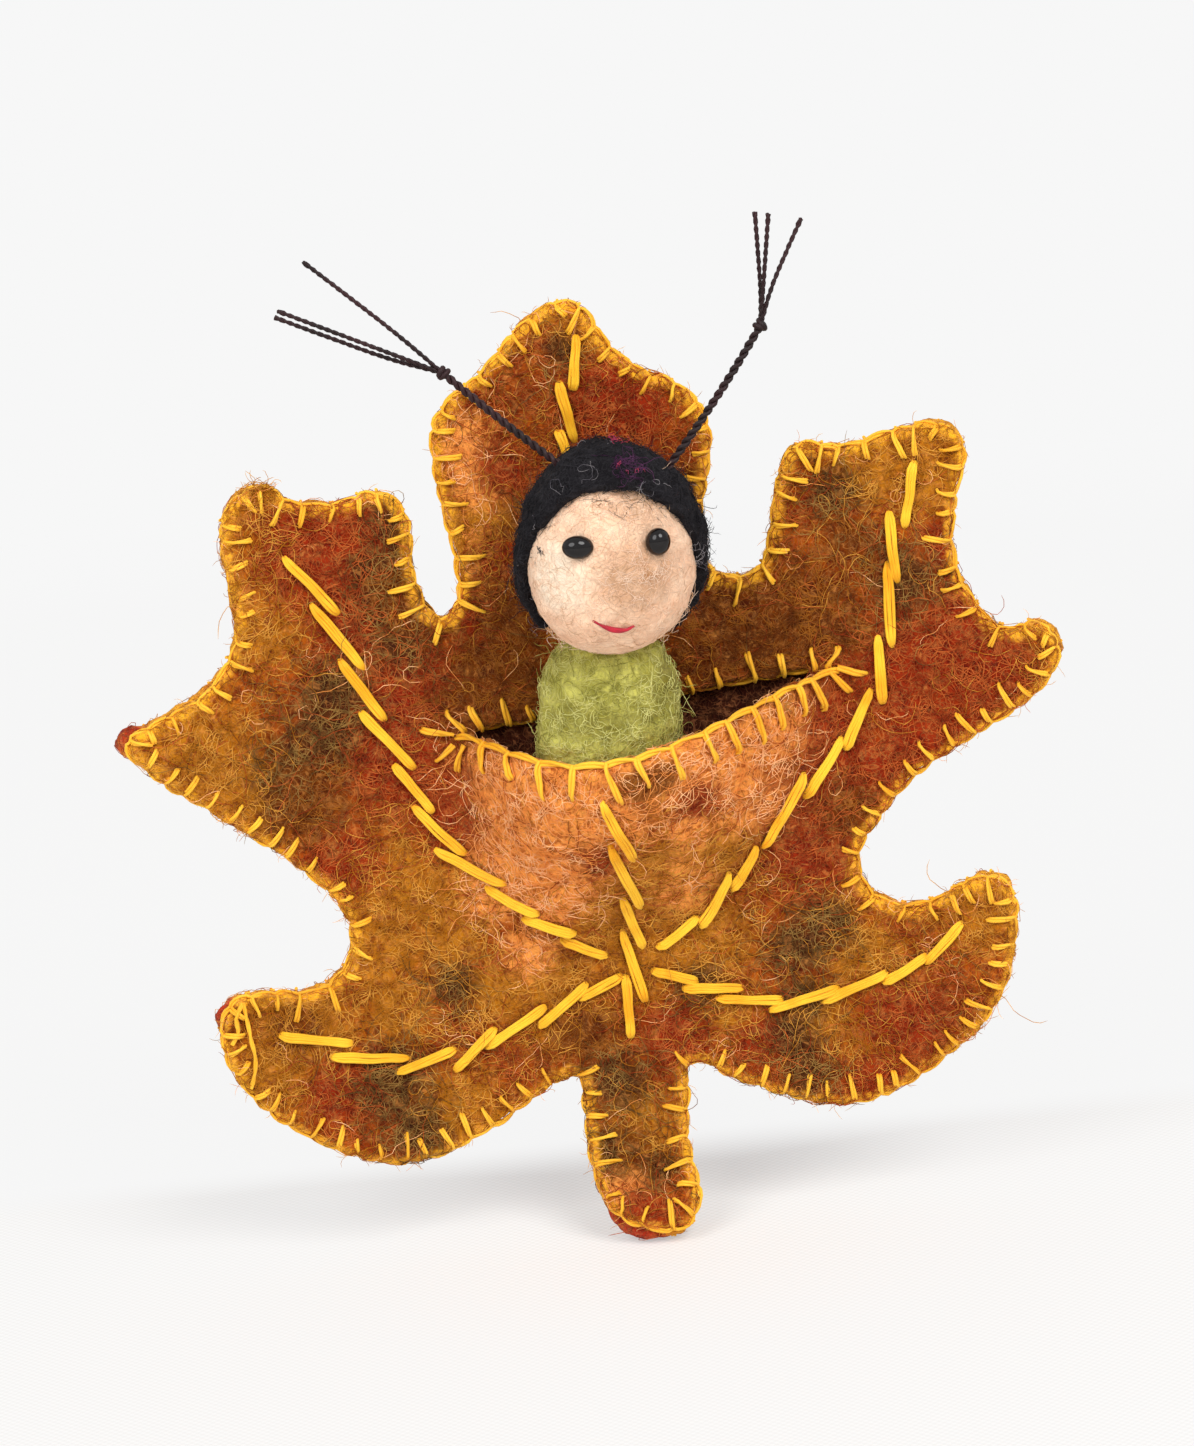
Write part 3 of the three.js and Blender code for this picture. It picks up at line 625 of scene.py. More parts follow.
def felt_layer(name, edge, distance, with_slit, material, voxel):
    """One layer of the leaf, from its flat cut to its thick, bent and slightly uneven shape."""
    bm = flat_leaf(edge, with_slit)
    bend_leaf(bm, distance, with_slit)
    bmesh.ops.recalc_face_normals(bm, faces=bm.faces)
    piece = object_of(name, bm, material)
    thick = piece.modifiers.new("thickness", "SOLIDIFY")
    thick.thickness = FELT
    thick.offset = 0
    soften(piece, voxel, 3)
    roughen(piece, [(9, 0.5), (2.6, 0.28), (0.9, 0.16)])
    print(name, "faces:", len(piece.data.polygons))
    return piece


# %% [markdown]
# The back layer is cut a little larger at three places, as its red shows there past the rim.
# Each is a centre in millimetres, a reach and how far it sticks out.

# %% The two felt layers
FELT_EDGE = -0.12 * MM
PEEKS = [((-52.6, -2), 2.5, 1.0), ((-58.4, 34.8), 2, 0.9), ((-2.6, -33.4), 3.2, 0.75)]


def peeking(p):
    """How far the back felt sticks out at an outline point."""
    apart = [(math.dist((p.x, p.z), (x * MM, z * MM)) / (reach * MM), out) for (x, z), reach, out in PEEKS]
    return sum(out * MM * math.exp(-(share**2)) for share, out in apart)


front_edge = [p + FELT_EDGE * inward_at(k) for k, p in enumerate(outline)]
back_edge = [p + (FELT_EDGE - peeking(p)) * inward_at(k) for k, p in enumerate(outline)]
front_felt = felt_layer("front_felt", front_edge, CLEAR / 2 + FELT / 2, True, leaf_felt, 0.5 * MM)
back_felt = felt_layer("back_felt", back_edge, -CLEAR / 2 - FELT / 2, False, back_leaf_felt, 0.6 * MM)

# %% [markdown]
# The dyes were laid on as drifts of wool, and spots of painted light and painted shadow share their lists.
# Each drift is a soft spot at a pixel of the photograph, with a radius in millimetres and the colour it holds.

# %% Drifts of dye, painted light and painted shadow
DARK, OCHRE_DYE, RED_DYE, ORANGE_DYE_AND_LIGHT, UMBER_DYE_AND_SHADOW = range(5)
DRIFT_STRENGTHS = {DARK: 0.85, OCHRE_DYE: 0.9, RED_DYE: 1.0, ORANGE_DYE_AND_LIGHT: 1.0, UMBER_DYE_AND_SHADOW: 0.9}
BACK_STRENGTH = 0.4
DRIFT_SPREAD = 1.3
DRIFTS = {
    DARK: [
        (300, 770, 5), (326, 735, 5), (402, 640, 4), (384, 600, 4), (392, 520, 3), (455, 985, 3), (390, 1085, 5),
        (420, 1130, 4), (800, 945, 4), (825, 925, 4), (700, 985, 3), (620, 1080, 4), (905, 580, 4), (560, 350, 2),
        (610, 1150, 3), (335, 690, 4), (288, 812, 3), (396, 560, 3), (835, 490, 3), (805, 1000, 3), (800, 1050, 3),
        (285, 795, 4), (316, 722, 3), (792, 1030, 3), (808, 1074, 3), (366, 572, 2.5), (660, 1166, 2.2),
    ],
    OCHRE_DYE: [
        (190, 760, 8), (250, 800, 6), (250, 620, 6), (245, 525, 5), (300, 1030, 7), (270, 1075, 6), (460, 1110, 5),
        (650, 900, 6), (560, 1000, 6), (690, 870, 5), (880, 1050, 4), (980, 900, 6), (700, 940, 6), (870, 460, 5),
        (480, 530, 5), (590, 330, 4), (930, 470, 6), (640, 960, 5), (720, 850, 4), (650, 860, 4), (600, 930, 4),
        (500, 990, 4), (390, 880, 6), (440, 900, 5), (1030, 640, 3), (870, 960, 5), (400, 1010, 4), (820, 1010, 4),
        (645, 1120, 4), (380, 952, 5), (850, 882, 4.5), (735, 1015, 4), (478, 566, 4), (450, 940, 4),
    ],
    RED_DYE: [
        (320, 545, 8), (395, 760, 6), (450, 786, 3), (700, 800, 2.5), (598, 862, 2), (845, 790, 8), (820, 860, 5),
        (965, 655, 8), (900, 660, 6), (620, 400, 6), (500, 470, 3), (340, 1090, 4), (640, 1215, 3), (350, 860, 4),
        (900, 1020, 5), (330, 870, 3), (628, 378, 4), (360, 620, 5), (420, 690, 5), (930, 730, 6), (760, 1040, 3),
        (680, 1040, 4), (880, 1080, 4), (450, 820, 4), (990, 650, 5), (950, 540, 3), (480, 620, 4), (500, 560, 3),
        (832, 722, 3.5),
    ],
    # Orange spots: dyed wool, and on the pocket below the slit painted light on its bulge.
    ORANGE_DYE_AND_LIGHT: [
        (560, 880, 5), (500, 800, 7), (590, 800, 6), (520, 850, 7), (720, 765, 6), (780, 725, 5), (660, 770, 5),
        (740, 800, 4), (610, 840, 4), (560, 800, 6), (690, 830, 3), (682, 885, 3.5), (480, 770, 4), (490, 895, 3),
        (467, 446, 3.2), (480, 480, 3), (350, 670, 2), (530, 955, 3), (410, 560, 2), (476, 560, 3), (852, 872, 2.5),
        (780, 800, 3), (545, 905, 3), (627, 1186, 2.5),
    ],
    # Umber spots: dyed wool, and painted shadow of the head behind the doll's neck and under the slit's lip.
    UMBER_DYE_AND_SHADOW: [
        (740, 620, 7), (800, 610, 6), (710, 660, 5), (500, 670, 6), (470, 700, 5), (510, 610, 5), (850, 630, 3),
        (530, 520, 3), (700, 500, 4), (310, 800, 5), (770, 660, 4), (530, 680, 5), (440, 620, 3), (850, 540, 3),
        (850, 810, 4), (400, 600, 4), (640, 788, 2.5), (664, 778, 2), (582, 1028, 4), (636, 1150, 2.5),
        (296, 1028, 3.5),
    ],
}
EDGE_REACH = 1.25 * MM
front_tree = tree_of(front_felt)


def on_front(px, py):
    """The place and outward normal where the camera sees the front felt at a pixel."""
    return front_tree.ray_cast(eye, ray_through(px, py))[:2]


def rim_closeness(points):
    """How near each point is to the rim, from 1 at the outline to 0 inside."""
    near = kd_tree([(p.x, 0, p.z) for p in outline])
    apart = np.array([near.find((x, 0, z))[2] for x, _, z in points])
    return np.exp(-((apart / EDGE_REACH) ** 2))


spots = [
    (on_front(px, py)[0], DRIFT_SPREAD * radius * MM, kind)
    for kind, drifts in DRIFTS.items() for px, py, radius in drifts
]
spot_places = np.array([[place.x, place.z] for place, _, _ in spots])
spot_reaches = np.array([reach for _, reach, _ in spots])
spot_kinds = np.array([kind for _, _, kind in spots])


def dye_and_light(piece, strength=1.0):
    """Paints the first four channels' drifts, with the orange's painted light, as the colour attribute that the felt
    reads, and returns the umber's, with its painted shadow.
    """
    points = points_of(piece.data)[0]
    colours = np.zeros((len(points), len(DRIFTS)), np.float32)
    for place, reach, kind in zip(spot_places, spot_reaches, spot_kinds):
        apart = np.linalg.norm(points[:, [0, 2]] - place, axis=1)
        share = strength * DRIFT_STRENGTHS[kind] * np.exp(-((apart / reach) ** 2))
        colours[:, kind] = np.maximum(colours[:, kind], share)
    layer = piece.data.attributes.new("dyes_and_light", "FLOAT_COLOR", "POINT")
    layer.data.foreach_set("color", colours[:, :4].ravel())
    print(piece.name, "drifts:", len(spots))
    return colours[:, 4]


# The umber spots, dye and painted shadow, go into the second attribute.
umber_and_shadow = {"front_felt": dye_and_light(front_felt), "back_felt": dye_and_light(back_felt, BACK_STRENGTH)}

# %% [markdown]
# Every thread is a tube along a line.
# A curve with a round bevel makes many tubes at once, and it is turned to a mesh when they are all in place.
# Twisted thread is two tubes that wind round one path, loosely for the sewing cotton and tightly for the antennae.

# %% Helpers for threads
BEZIER_STEPS = 8


def lengths_along(points):
    """The length of a line up to each of its points."""
    lengths = [0.0]
    for a, b in zip(points, points[1:]):
        lengths.append(lengths[-1] + (b - a).length)
    return lengths


def heading_at(path, k):
    """The direction of a path at one of its points."""
    return (path[min(k + 1, len(path) - 1)] - path[max(k - 1, 0)]).normalized()


def through(points, step):
    """A smooth line through points, with places about a step apart."""
    fine = bezier_through(points, False, BEZIER_STEPS)
    lengths = lengths_along(fine)
    count = max(2, round(lengths[-1] / step) + 1)
    at = np.linspace(0, lengths[-1], count)
    table = np.array(fine)
    return [Vector(p) for p in np.stack([np.interp(at, lengths, table[:, k]) for k in range(3)], axis=1)]


def plies(path, radius, strands, pitch, phase=0.0):
    """Strands that wind round a path, each as a list of points."""
    lines = [[] for _ in range(strands)]
    travelled = 0.0
    side = None
    for k, p in enumerate(path):
        along = heading_at(path, k)
        if side is None:
            side = along.orthogonal().normalized()
        side = (side - side.dot(along) * along).normalized()
        other = along.cross(side)
        if k:
            travelled += (p - path[k - 1]).length
        for s in range(strands):
            angle = phase + 2 * math.pi * (travelled / pitch + s / strands)
            lines[s].append(p + radius * (math.cos(angle) * side + math.sin(angle) * other))
    return lines


def tubes(name, lines, radius, material, resolution=1, tapers=None, kinds=None):
    """Round tubes along many lines, as one mesh object."""
    curve = bpy.data.curves.new(name, "CURVE")
    curve.dimensions = "3D"
    curve.bevel_depth = radius
    curve.bevel_resolution = resolution
    curve.use_fill_caps = True
    for m in material if isinstance(material, list) else [material]:
        curve.materials.append(m)
    for k, line in enumerate(lines):
        spline = curve.splines.new("POLY")
        spline.points.add(len(line) - 1)
        spline.points.foreach_set("co", [c for p in line for c in (*p, 1.0)])
        if tapers is not None:
            spline.points.foreach_set("radius", tapers[k])
        if kinds is not None:
            spline.material_index = kinds[k]
        spline.use_smooth = True
    holder = bpy.data.objects.new(name, curve)
    mesh = bpy.data.meshes.new_from_object(holder)
    bpy.data.objects.remove(holder)
    bpy.data.curves.remove(curve)
    mesh.name = name
    return finish_object(name, mesh, [])


# %% [markdown]
# The veins are long stitches of floss that lap each other along a line, drawn as four strands each.
# Each stitch is placed by the two pixels where the needle went in and came out,
# and both are cast onto the front felt. The ends dive into the felt, and the middle lies on top of it.

# %% Vein stitches
VEINS = {
    "vein_upper_left": [
        (286, 560, 336, 612), (313, 608, 363, 667), (341, 663, 384, 718), (363, 715, 413, 767),
        (396, 767, 432, 811), (415, 808, 463, 853), (438, 852, 502, 883), (488, 888, 536, 914),
        (524, 919, 573, 933), (564, 940, 605, 955),
    ],
    "vein_upper_right": [
        (913, 465, 905, 525), (889, 515, 897, 580), (887, 566, 892, 644), (878, 638, 883, 702),
        (870, 692, 846, 747), (840, 740, 807, 795), (803, 777, 765, 846), (756, 850, 732, 888),
        (729, 876, 701, 926), (696, 919, 660, 946),
    ],
    "vein_centre": [
        (604, 806, 634, 860), (612, 850, 641, 907), (624, 902, 643, 946), (623, 934, 645, 1000),
        (626, 979, 631, 1036),
    ],
    "vein_lower_left": [
        (283, 1036, 350, 1043), (335, 1057, 406, 1058), (399, 1072, 452, 1050), (456, 1069, 493, 1031),
        (488, 1046, 543, 1008), (540, 1026, 585, 986), (581, 998, 619, 977),
    ],
    "vein_lower_right": [
        (655, 971, 696, 981), (686, 988, 741, 988), (720, 998, 780, 1000), (772, 1010, 836, 988),
        (825, 1000, 884, 974), (885, 981, 925, 957), (927, 962, 959, 926),
    ],
    "vein_top": [(576, 338, 573, 388), (559, 385, 574, 439), (559, 433, 568, 457)],
}
STRAND = 0.21 * MM
STRAND_APART = 0.3 * MM
THREAD_STEP = 0.7 * MM
FLOSS_STRANDS = 4
VEIN_SHARES = (-0.06, 0.02, 0.25, 0.5, 0.75, 0.98, 1.06)
VEIN_RISES = (-0.7, 0.1, 0.32, 0.38, 0.32, 0.1, -0.7)
random.seed(11)


def over_front(pixels, rises):
    """A smooth thread over the front felt along pixels, at a rise in millimetres above each."""
    found = []
    for (px, py), rise in zip(pixels, rises):
        place, normal = on_front(px, py)
        found.append(place + rise * MM * normal)
    return through(found, THREAD_STEP)


def straight_stitch(ends, shares, rises):
    """A thread over the front felt between two pixels, by its rise at each share of the way."""
    x0, y0, x1, y1 = ends
    return over_front([(x0 + s * (x1 - x0), y0 + s * (y1 - y0)) for s in shares], rises)


def flat_strands(path):
    """Strands side by side on the felt, drawn together at both ends, where they share a hole."""
    lines = [[] for _ in range(FLOSS_STRANDS)]
    turn = random.uniform(-0.35, 0.35)
    waves = [(random.uniform(0.04, 0.1) * MM, random.uniform(0, 6)) for _ in lines]
    for k, p in enumerate(path):
        along = heading_at(path, k)
        side = along.cross(forward).normalized()
        share = k / (len(path) - 1)
        angle = turn + 0.6 * (share - 0.5)
        spread = STRAND_APART * min(1, 0.25 + 5 * min(share, 1 - share))
        for s, (height, phase) in enumerate(waves):
            offset = spread * (s - (FLOSS_STRANDS - 1) / 2) + height * math.sin(5 * share + phase)
            lift = height * math.cos(4 * share + phase)
            turned = math.cos(angle) * side - 0.6 * math.sin(angle) * forward
            lines[s].append(p + offset * turned - lift * forward)
    return lines


stitch_paths = {name: [straight_stitch(s, VEIN_SHARES, VEIN_RISES) for s in VEINS[name]] for name in VEINS}
for name, paths in stitch_paths.items():
    lines = [line for path in paths for line in flat_strands(path)]
    piece = tubes(name + "_floss", lines, STRAND, gold_cotton, 2)
    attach(piece, "leaf")
    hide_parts(name)
print("vein stitches:", sum(len(p) for p in stitch_paths.values()))

# %% [markdown]
# Both layers are sewn together by blanket stitch round the whole rim.
# Each stitch comes out of the felt and runs to the edge as a leg, and there the thread turns and runs along the rim.
# The needle goes through both layers, so each leg has its twin on the back.
# At the tip of the lower left lobe two turns of the thread lie loose across the corner.

# %% Blanket stitch round the rim
RIM_PITCH = 3.15 * MM
RIM_UNEVEN = 0.22
RIM_LEG = 2.5 * MM
RIM_LEG_SHARES = [0.7, 0.85, 1, 1, 1.15, 1.35]
RIM_LEAN = 0.55
RIM_OUT = 0.18 * MM
RIM_STRAND = 0.21 * MM
RIM_PLY = 0.18 * MM
RIM_TWIST = 12 * MM


def rim_places(pitch):
    """Points at uneven lengths round the outline, with the inward direction at each."""
    closed = outline + [outline[0]]
    lengths = lengths_along(closed)
    count = round(lengths[-1] / pitch)
    found = []
    for n in range(count):
        at = (n + random.uniform(-RIM_UNEVEN, RIM_UNEVEN)) * lengths[-1] / count % lengths[-1]
        k = max(i for i, length in enumerate(lengths) if length <= at)
        share = (at - lengths[k]) / max(lengths[k + 1] - lengths[k], 1e-9)
        found.append((closed[k].lerp(closed[k + 1], share), inward_at(k % len(outline)), at, k % len(outline)))
    return sorted(found, key=lambda f: f[2])


def rim_point(flat, inward, into, distance):
    """A point over the leaf, at a distance from the rim into the leaf and in front of its middle."""
    p = flat + into * inward
    return leaf_point(p.x, p.z, distance, p.z < slit_line(p.x))


def rim_leg(flat, inward, long, lean, face):
    """A leg from its hole to the rim, on the front of the leaf with face 1 and on its back with face -1."""
    hole = flat + lean * Vector((-inward.z, 0, inward.x))
    stops = [
        (hole, long, -0.6 * MM), (hole, long - 0.3 * MM, 0.18 * MM), (flat.lerp(hole, 0.5), long * 0.5, 0.3 * MM),
        (flat, 0.5 * MM, 0.12 * MM), (flat, 0.12 * MM, -0.55 * MM),
    ]
    return through([rim_point(at, inward, into, face * (FRONT_FACE + rise)) for at, into, rise in stops], THREAD_STEP)


def rim_run(first, last):
    """The thread along the rim from one stitch to the next. It bows out a little between them."""
    (flat, inward, _, k), (next_flat, next_inward, _, next_k) = first, last
    passed = [i % len(outline) for i in range(k + 1, (next_k if next_k >= k else next_k + len(outline)) + 1)]
    stops = [(flat, inward, 0.12 * MM)]
    stops += [(outline[i], inward_at(i), -RIM_OUT) for i in passed]
    stops.append((next_flat, next_inward, 0.12 * MM))
    apart = [stops[0]] + [s for s in stops[1:-1] if 0.35 * MM < (s[0] - flat).length < (next_flat - flat).length
                          and (s[0] - next_flat).length > 0.35 * MM] + [stops[-1]]
    return through([rim_point(at, into, push, FRONT_FACE - 0.95 * MM) for at, into, push in apart], THREAD_STEP)


rim_stops = rim_places(RIM_PITCH)
front_legs, back_legs, rim_runs = [], [], []
for n, stop in enumerate(rim_stops):
    long = RIM_LEG * random.choice(RIM_LEG_SHARES)
    lean = random.uniform(-RIM_LEAN, RIM_LEAN) * MM
    front_legs.append(rim_leg(stop[0], stop[1], long, lean, 1))
    back_legs.append(rim_leg(stop[0], stop[1], long, lean, -1))
    rim_runs.append(rim_run(stop, rim_stops[(n + 1) % len(rim_stops)]))
rim_lines = [
    line for path in front_legs + back_legs + rim_runs
    for line in plies(path, RIM_PLY, 2, RIM_TWIST, random.uniform(0, 6))
]
LOOSE_PLY = 0.1 * MM
LOOSE_TWIST = 5 * MM
LOOSE_THREADS = [
    [(243, 1004), (246, 1022), (251, 1040), (255, 1058), (253, 1076), (251, 1088)],
    [(242, 1004), (236, 1017), (237, 1033), (232, 1045)],
]
for pixels in LOOSE_THREADS:
    rises = [0.2] + [0.55] * (len(pixels) - 2) + [0.1]
    rim_lines += plies(over_front(pixels, rises), LOOSE_PLY, 2, LOOSE_TWIST)
rim_stitches = tubes("rim_blanket_stitches", rim_lines, RIM_STRAND, gold_sewing, 1)
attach(rim_stitches, "leaf")
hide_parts("edge_stitching")
print("rim stitches:", len(rim_stops), "faces:", len(rim_stitches.data.polygons))

# %% [markdown]
# The slit is bound with the same stitch, so that its edge doesn't stretch.
# The legs are placed by their ends in the photograph, and the thread runs along each lip from leg to leg.

# %% Blanket stitch round the slit
LOWER_LEGS = [
    (483, 745, 481, 774), (508, 752, 510, 777), (540, 757, 541, 793), (572, 764, 569, 795), (604, 762, 614, 800),
    (637, 757, 645, 784), (668, 740, 675, 773), (703, 728, 711, 759), (724, 715, 732, 748), (748, 697, 755, 734),
    (770, 685, 774, 718), (793, 676, 797, 706), (809, 670, 819, 702),
]
UPPER_LEGS = [
    (464, 731, 449, 712), (481, 728, 473, 705), (508, 720, 504, 694), (532, 710, 528, 696), (689, 678, 685, 662),
    (719, 675, 716, 657), (754, 669, 748, 641), (781, 659, 779, 638), (814, 659, 811, 638), (827, 657, 838, 643),
]
END_RAYS = [
    (453, 734, 421, 730), (453, 745, 437, 761), (465, 745, 457, 772), (829, 672, 851, 692), (838, 667, 866, 674),
]
PIXELS_PER_MM = 8
RAY_SHARES = (0, 0.3, 0.6, 0.9, 1)
RAY_RISES = (0.2, 0.45, 0.45, 0.2, -0.6)
SLIT_PLY = 0.21 * MM
SLIT_STRAND = 0.25 * MM
LIP_SAMPLES = 200
LIP_STEP = 1.2 * MM
CORNER_INSET = 0.2 * MM
LOWER_SUNK = 0.3 * MM
UPPER_SUNK = 1.3 * MM


def lip_point(x, side, into, distance):
    """A point by the slit's lip at x: side -1 on the pocket and 1 above it."""
    return leaf_point(x, slit_line(x) + side * (SLIT_GAP / 2 + into), distance, side < 0)


def lip_x(px, py, side):
    """The x at which the camera sees the lip nearest to a pixel."""
    ray = ray_through(px, py)
    xs = [SLIT_LEFT[0] + (SLIT_RIGHT[0] - SLIT_LEFT[0]) * k / LIP_SAMPLES for k in range(LIP_SAMPLES + 1)]
    return min(xs, key=lambda x: (lip_point(x, side, 0, FRONT_FACE) - eye).cross(ray).length)


def lip_stitches(legs, side, sunk):
    """Legs from the lip, and the thread between them along the lip, sunk that far into the felt's edge."""
    paths = []
    xs = [lip_x(x0, y0, side) for x0, y0, _, _ in legs]
    for x, (x0, y0, x1, y1) in zip(xs, legs):
        long = math.hypot(x1 - x0, y1 - y0) / PIXELS_PER_MM * MM
        end = x + (x1 - x0) / PIXELS_PER_MM * MM
        stops = [
            (end, long, -0.6), (end, long - 0.35 * MM, 0.22), ((x + end) / 2, long / 2, 0.36), (x, 0.4 * MM, 0.3),
            (x, -0.12 * MM, -0.3),
        ]
        path = [lip_point(at, side, into, FRONT_FACE + rise * MM) for at, into, rise in stops]
        paths.append(through(path, THREAD_STEP))
    stops = [SLIT_LEFT[0] + CORNER_INSET] + xs + [SLIT_RIGHT[0] - CORNER_INSET]
    for a, b in zip(stops, stops[1:]):
        count = max(2, round(abs(b - a) / LIP_STEP))
        line = [
            lip_point(a + (b - a) * k / count, side, -0.2 * MM + 0.25 * MM * (k in (0, count)), FRONT_FACE - sunk)
            for k in range(count + 1)
        ]
        paths.append(through(line, THREAD_STEP))
    return paths


slit_paths = lip_stitches(LOWER_LEGS, -1, LOWER_SUNK) + lip_stitches(UPPER_LEGS, 1, UPPER_SUNK)
slit_paths += [straight_stitch(ends, RAY_SHARES, RAY_RISES) for ends in END_RAYS]
slit_lines = [line for path in slit_paths for line in plies(path, SLIT_PLY, 2, RIM_TWIST, random.uniform(0, 6))]
slit_stitches = tubes("slit_blanket_stitches", slit_lines, SLIT_STRAND, gold_sewing, 1)
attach(slit_stitches, "leaf")
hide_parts("slit_stitching")
print("slit threads:", len(slit_paths))

# %% [markdown]
# A thread that is pulled tight sinks into felt, so the felt is pressed down beside the vein stitches and the legs.
# Then a second attribute paints a gold glow of light on the rim, shade in the pinholes where threads enter, the umber
# drifts with their painted shadow, and the painted shadow inside the pocket.

# %% Press the felt under its stitches
# Reaches of the painted shade in the pinholes and of the painted shadow inside the pocket.
PINHOLE_SHADE_REACH = 0.55 * MM
POCKET_SHADOW_REACH = 18 * MM
POCKET_SHADOW_BESIDE = 8 * MM
PEEK_RED = 1.6


def press(piece, paths, width, depth):
    """Pushes a piece's surface in, near paths."""
    near = kd_tree([p for path in paths for p in path])
    lift_points(piece, lambda p: -depth * math.exp(-((near.find(p)[2] / width) ** 2)))


vein_stitches = [p for paths in stitch_paths.values() for p in paths]
press(front_felt, vein_stitches, 1.1 * MM, 0.45 * MM)
press(front_felt, slit_paths + front_legs, 0.8 * MM, 0.3 * MM)
press(back_felt, back_legs, 0.8 * MM, 0.3 * MM)


def mark(piece, holes):
    """Writes the attribute of the rim's painted glow, of the painted shade in the pinholes where threads enter the felt
    and of the painted shadow inside the pocket.

    Where the back felt peeks out it stays red, without the painted glow.
    """
    points, normals = points_of(piece.data)
    near = kd_tree(holes)
    apart = np.array([near.find(p)[2] for p in points])
    marks = np.zeros((len(points), 4), np.float32)
    # Painted glow of light along the rim.
    marks[:, 0] = rim_closeness(points)
    # Painted shade in the pinholes.
    marks[:, 1] = np.exp(-((apart / PINHOLE_SHADE_REACH) ** 2))
    marks[:, 2] = umber_and_shadow[piece.name]
    if piece is back_felt:
        # Painted shadow on the back felt's front face, inside the pocket.
        above = points[:, 2] - np.array([slit_line(x) for x in points[:, 0]])
        beside = np.maximum(SLIT_LEFT[0] - points[:, 0], points[:, 0] - SLIT_RIGHT[0]) < POCKET_SHADOW_BESIDE
        marks[:, 3] = faces_front(points, normals) * beside * (np.abs(above) < POCKET_SHADOW_REACH)
        for (x, z), reach, _ in PEEKS:
            apart = np.linalg.norm(points[:, [0, 2]] - np.array([x, z]) * MM, axis=1) / (PEEK_RED * reach * MM)
            marks[:, 0] *= 1 - np.exp(-(apart**2))
    layer = piece.data.attributes.new("marks", "FLOAT_COLOR", "POINT")
    layer.data.foreach_set("color", marks.ravel())


vein_ends = [p for path in vein_stitches for p in (path[0], path[-1])]
mark(front_felt, vein_ends + [leg[0] for leg in front_legs])
mark(back_felt, [leg[0] for leg in back_legs])
for piece, node in ((front_felt, "front_panel"), (back_felt, "back_panel")):
    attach(piece, "leaf")
    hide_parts(node)

# %% [markdown]
# The doll stands on its own axis, which leans to the right and forward.
# Its pieces are made upright, in the doll's own frame, and this matrix then puts their points in place.

# %% The doll's frame
DOLL_FOOT = Vector((0, -10.8, 30)) * MM
DOLL_LEAN = math.radians(5.5)
DOLL_TILT = math.radians(10)
HEAD_RADII = Vector((10.4, 9.5, 11.5)) * MM
HEAD_CROWN = 12.8 * MM
HEAD_AT = Vector((0, -0.8, 24.2)) * MM
doll_frame = (
    Matrix.Translation(DOLL_FOOT) @ Matrix.Rotation(DOLL_TILT, 4, "X") @ Matrix.Rotation(DOLL_LEAN, 4, "Y")
)


def on_face(x, z, distance):
    """A point off the face, at x and z from the head's centre, in the part's frame."""
    rz = HEAD_CROWN if z > 0 else HEAD_RADII.z
    y = -HEAD_RADII.y * math.sqrt(1 - (x / HEAD_RADII.x) ** 2 - (z / rz) ** 2)
    outward = Vector((x / HEAD_RADII.x**2, y / HEAD_RADII.y**2, z / rz**2)).normalized()
    return doll_frame @ (HEAD_AT + Vector((x, y, z)) + distance * outward)


def ball(radii, crown, subdivisions):
    """An icosphere whose upper half rises to its own crown radius."""
    bm = bmesh.new()
    bmesh.ops.create_icosphere(bm, subdivisions=subdivisions, radius=1)
    for v in bm.verts:
        v.co = Vector((v.co.x * radii.x, v.co.y * radii.y, v.co.z * (crown if v.co.z > 0 else radii.z)))
    return bm


def doll_object(name, bm, material):
    """Puts a bmesh of the doll's frame in place as an object."""
    bmesh.ops.transform(bm, matrix=doll_frame, verts=bm.verts)
    bmesh.ops.recalc_face_normals(bm, faces=bm.faces)
    return object_of(name, bm, material)


# %% [markdown]
# The head is a firm ball of wool. The needle left it slightly uneven, and the beads sit in dents.
# It is paler on the left cheek, with a brownish painted shade between the eyes and the mouth and a painted shadow under
# the hood's brow.

# %% Head
EYES = {
    "eye_left": (Vector((1.9, 1.3, 1.45)) * MM, -4.2 * MM, 5.15 * MM),
    "eye_right": (Vector((1.5, 1.4, 1.7)) * MM, 5.05 * MM, 5.55 * MM),
}
EYE_PROUD = 0.4 * MM
EYE_DENT = 0.55 * MM
PAINTED_FACE_SHADE = "#B0805A"
# Tints of the face: the paler left cheek, painted shade between the eyes and the mouth, and painted shadow under the
# hood's brow.
skin_tints = [
    (on_face(-7.2 * MM, 0.5 * MM, 0), 6.5, "#FFEFD8", 1.6), (on_face(2.8 * MM, 1.8 * MM, 0), 7, PAINTED_FACE_SHADE, 1.4),
    (on_face(3 * MM, 9.2 * MM, 0), 4.5, PAINTED_FACE_SHADE, 0.8),
]
skin_felt = plain_felt("skin_needle_felt", "#FCD6B6", "#F2C4A2", "#FFE6CE", 0.22, tints=skin_tints)


def make_head():
    """The ball of wool, with its lumps and the dents of the eyes."""
    bm = ball(HEAD_RADII, HEAD_CROWN, 7)
    bmesh.ops.translate(bm, vec=HEAD_AT, verts=bm.verts)
    piece = doll_object("doll_head", bm, skin_felt)
    roughen(piece, [(6, 0.35), (1.8, 0.16), (0.7, 0.08)])
    for radii, x, z in EYES.values():
        centre = on_face(x, z, EYE_PROUD)
        reach = 1.5 * radii.x
        lift_points(piece, lambda p: -EYE_DENT * max(0, 1 - (p - centre).length / reach))
    return piece


doll_head = make_head()
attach(doll_head, "doll")
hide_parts("head")

# %% [markdown]
# The eyes are two glass seed beads, each a squashed ball that stands a little off the face.

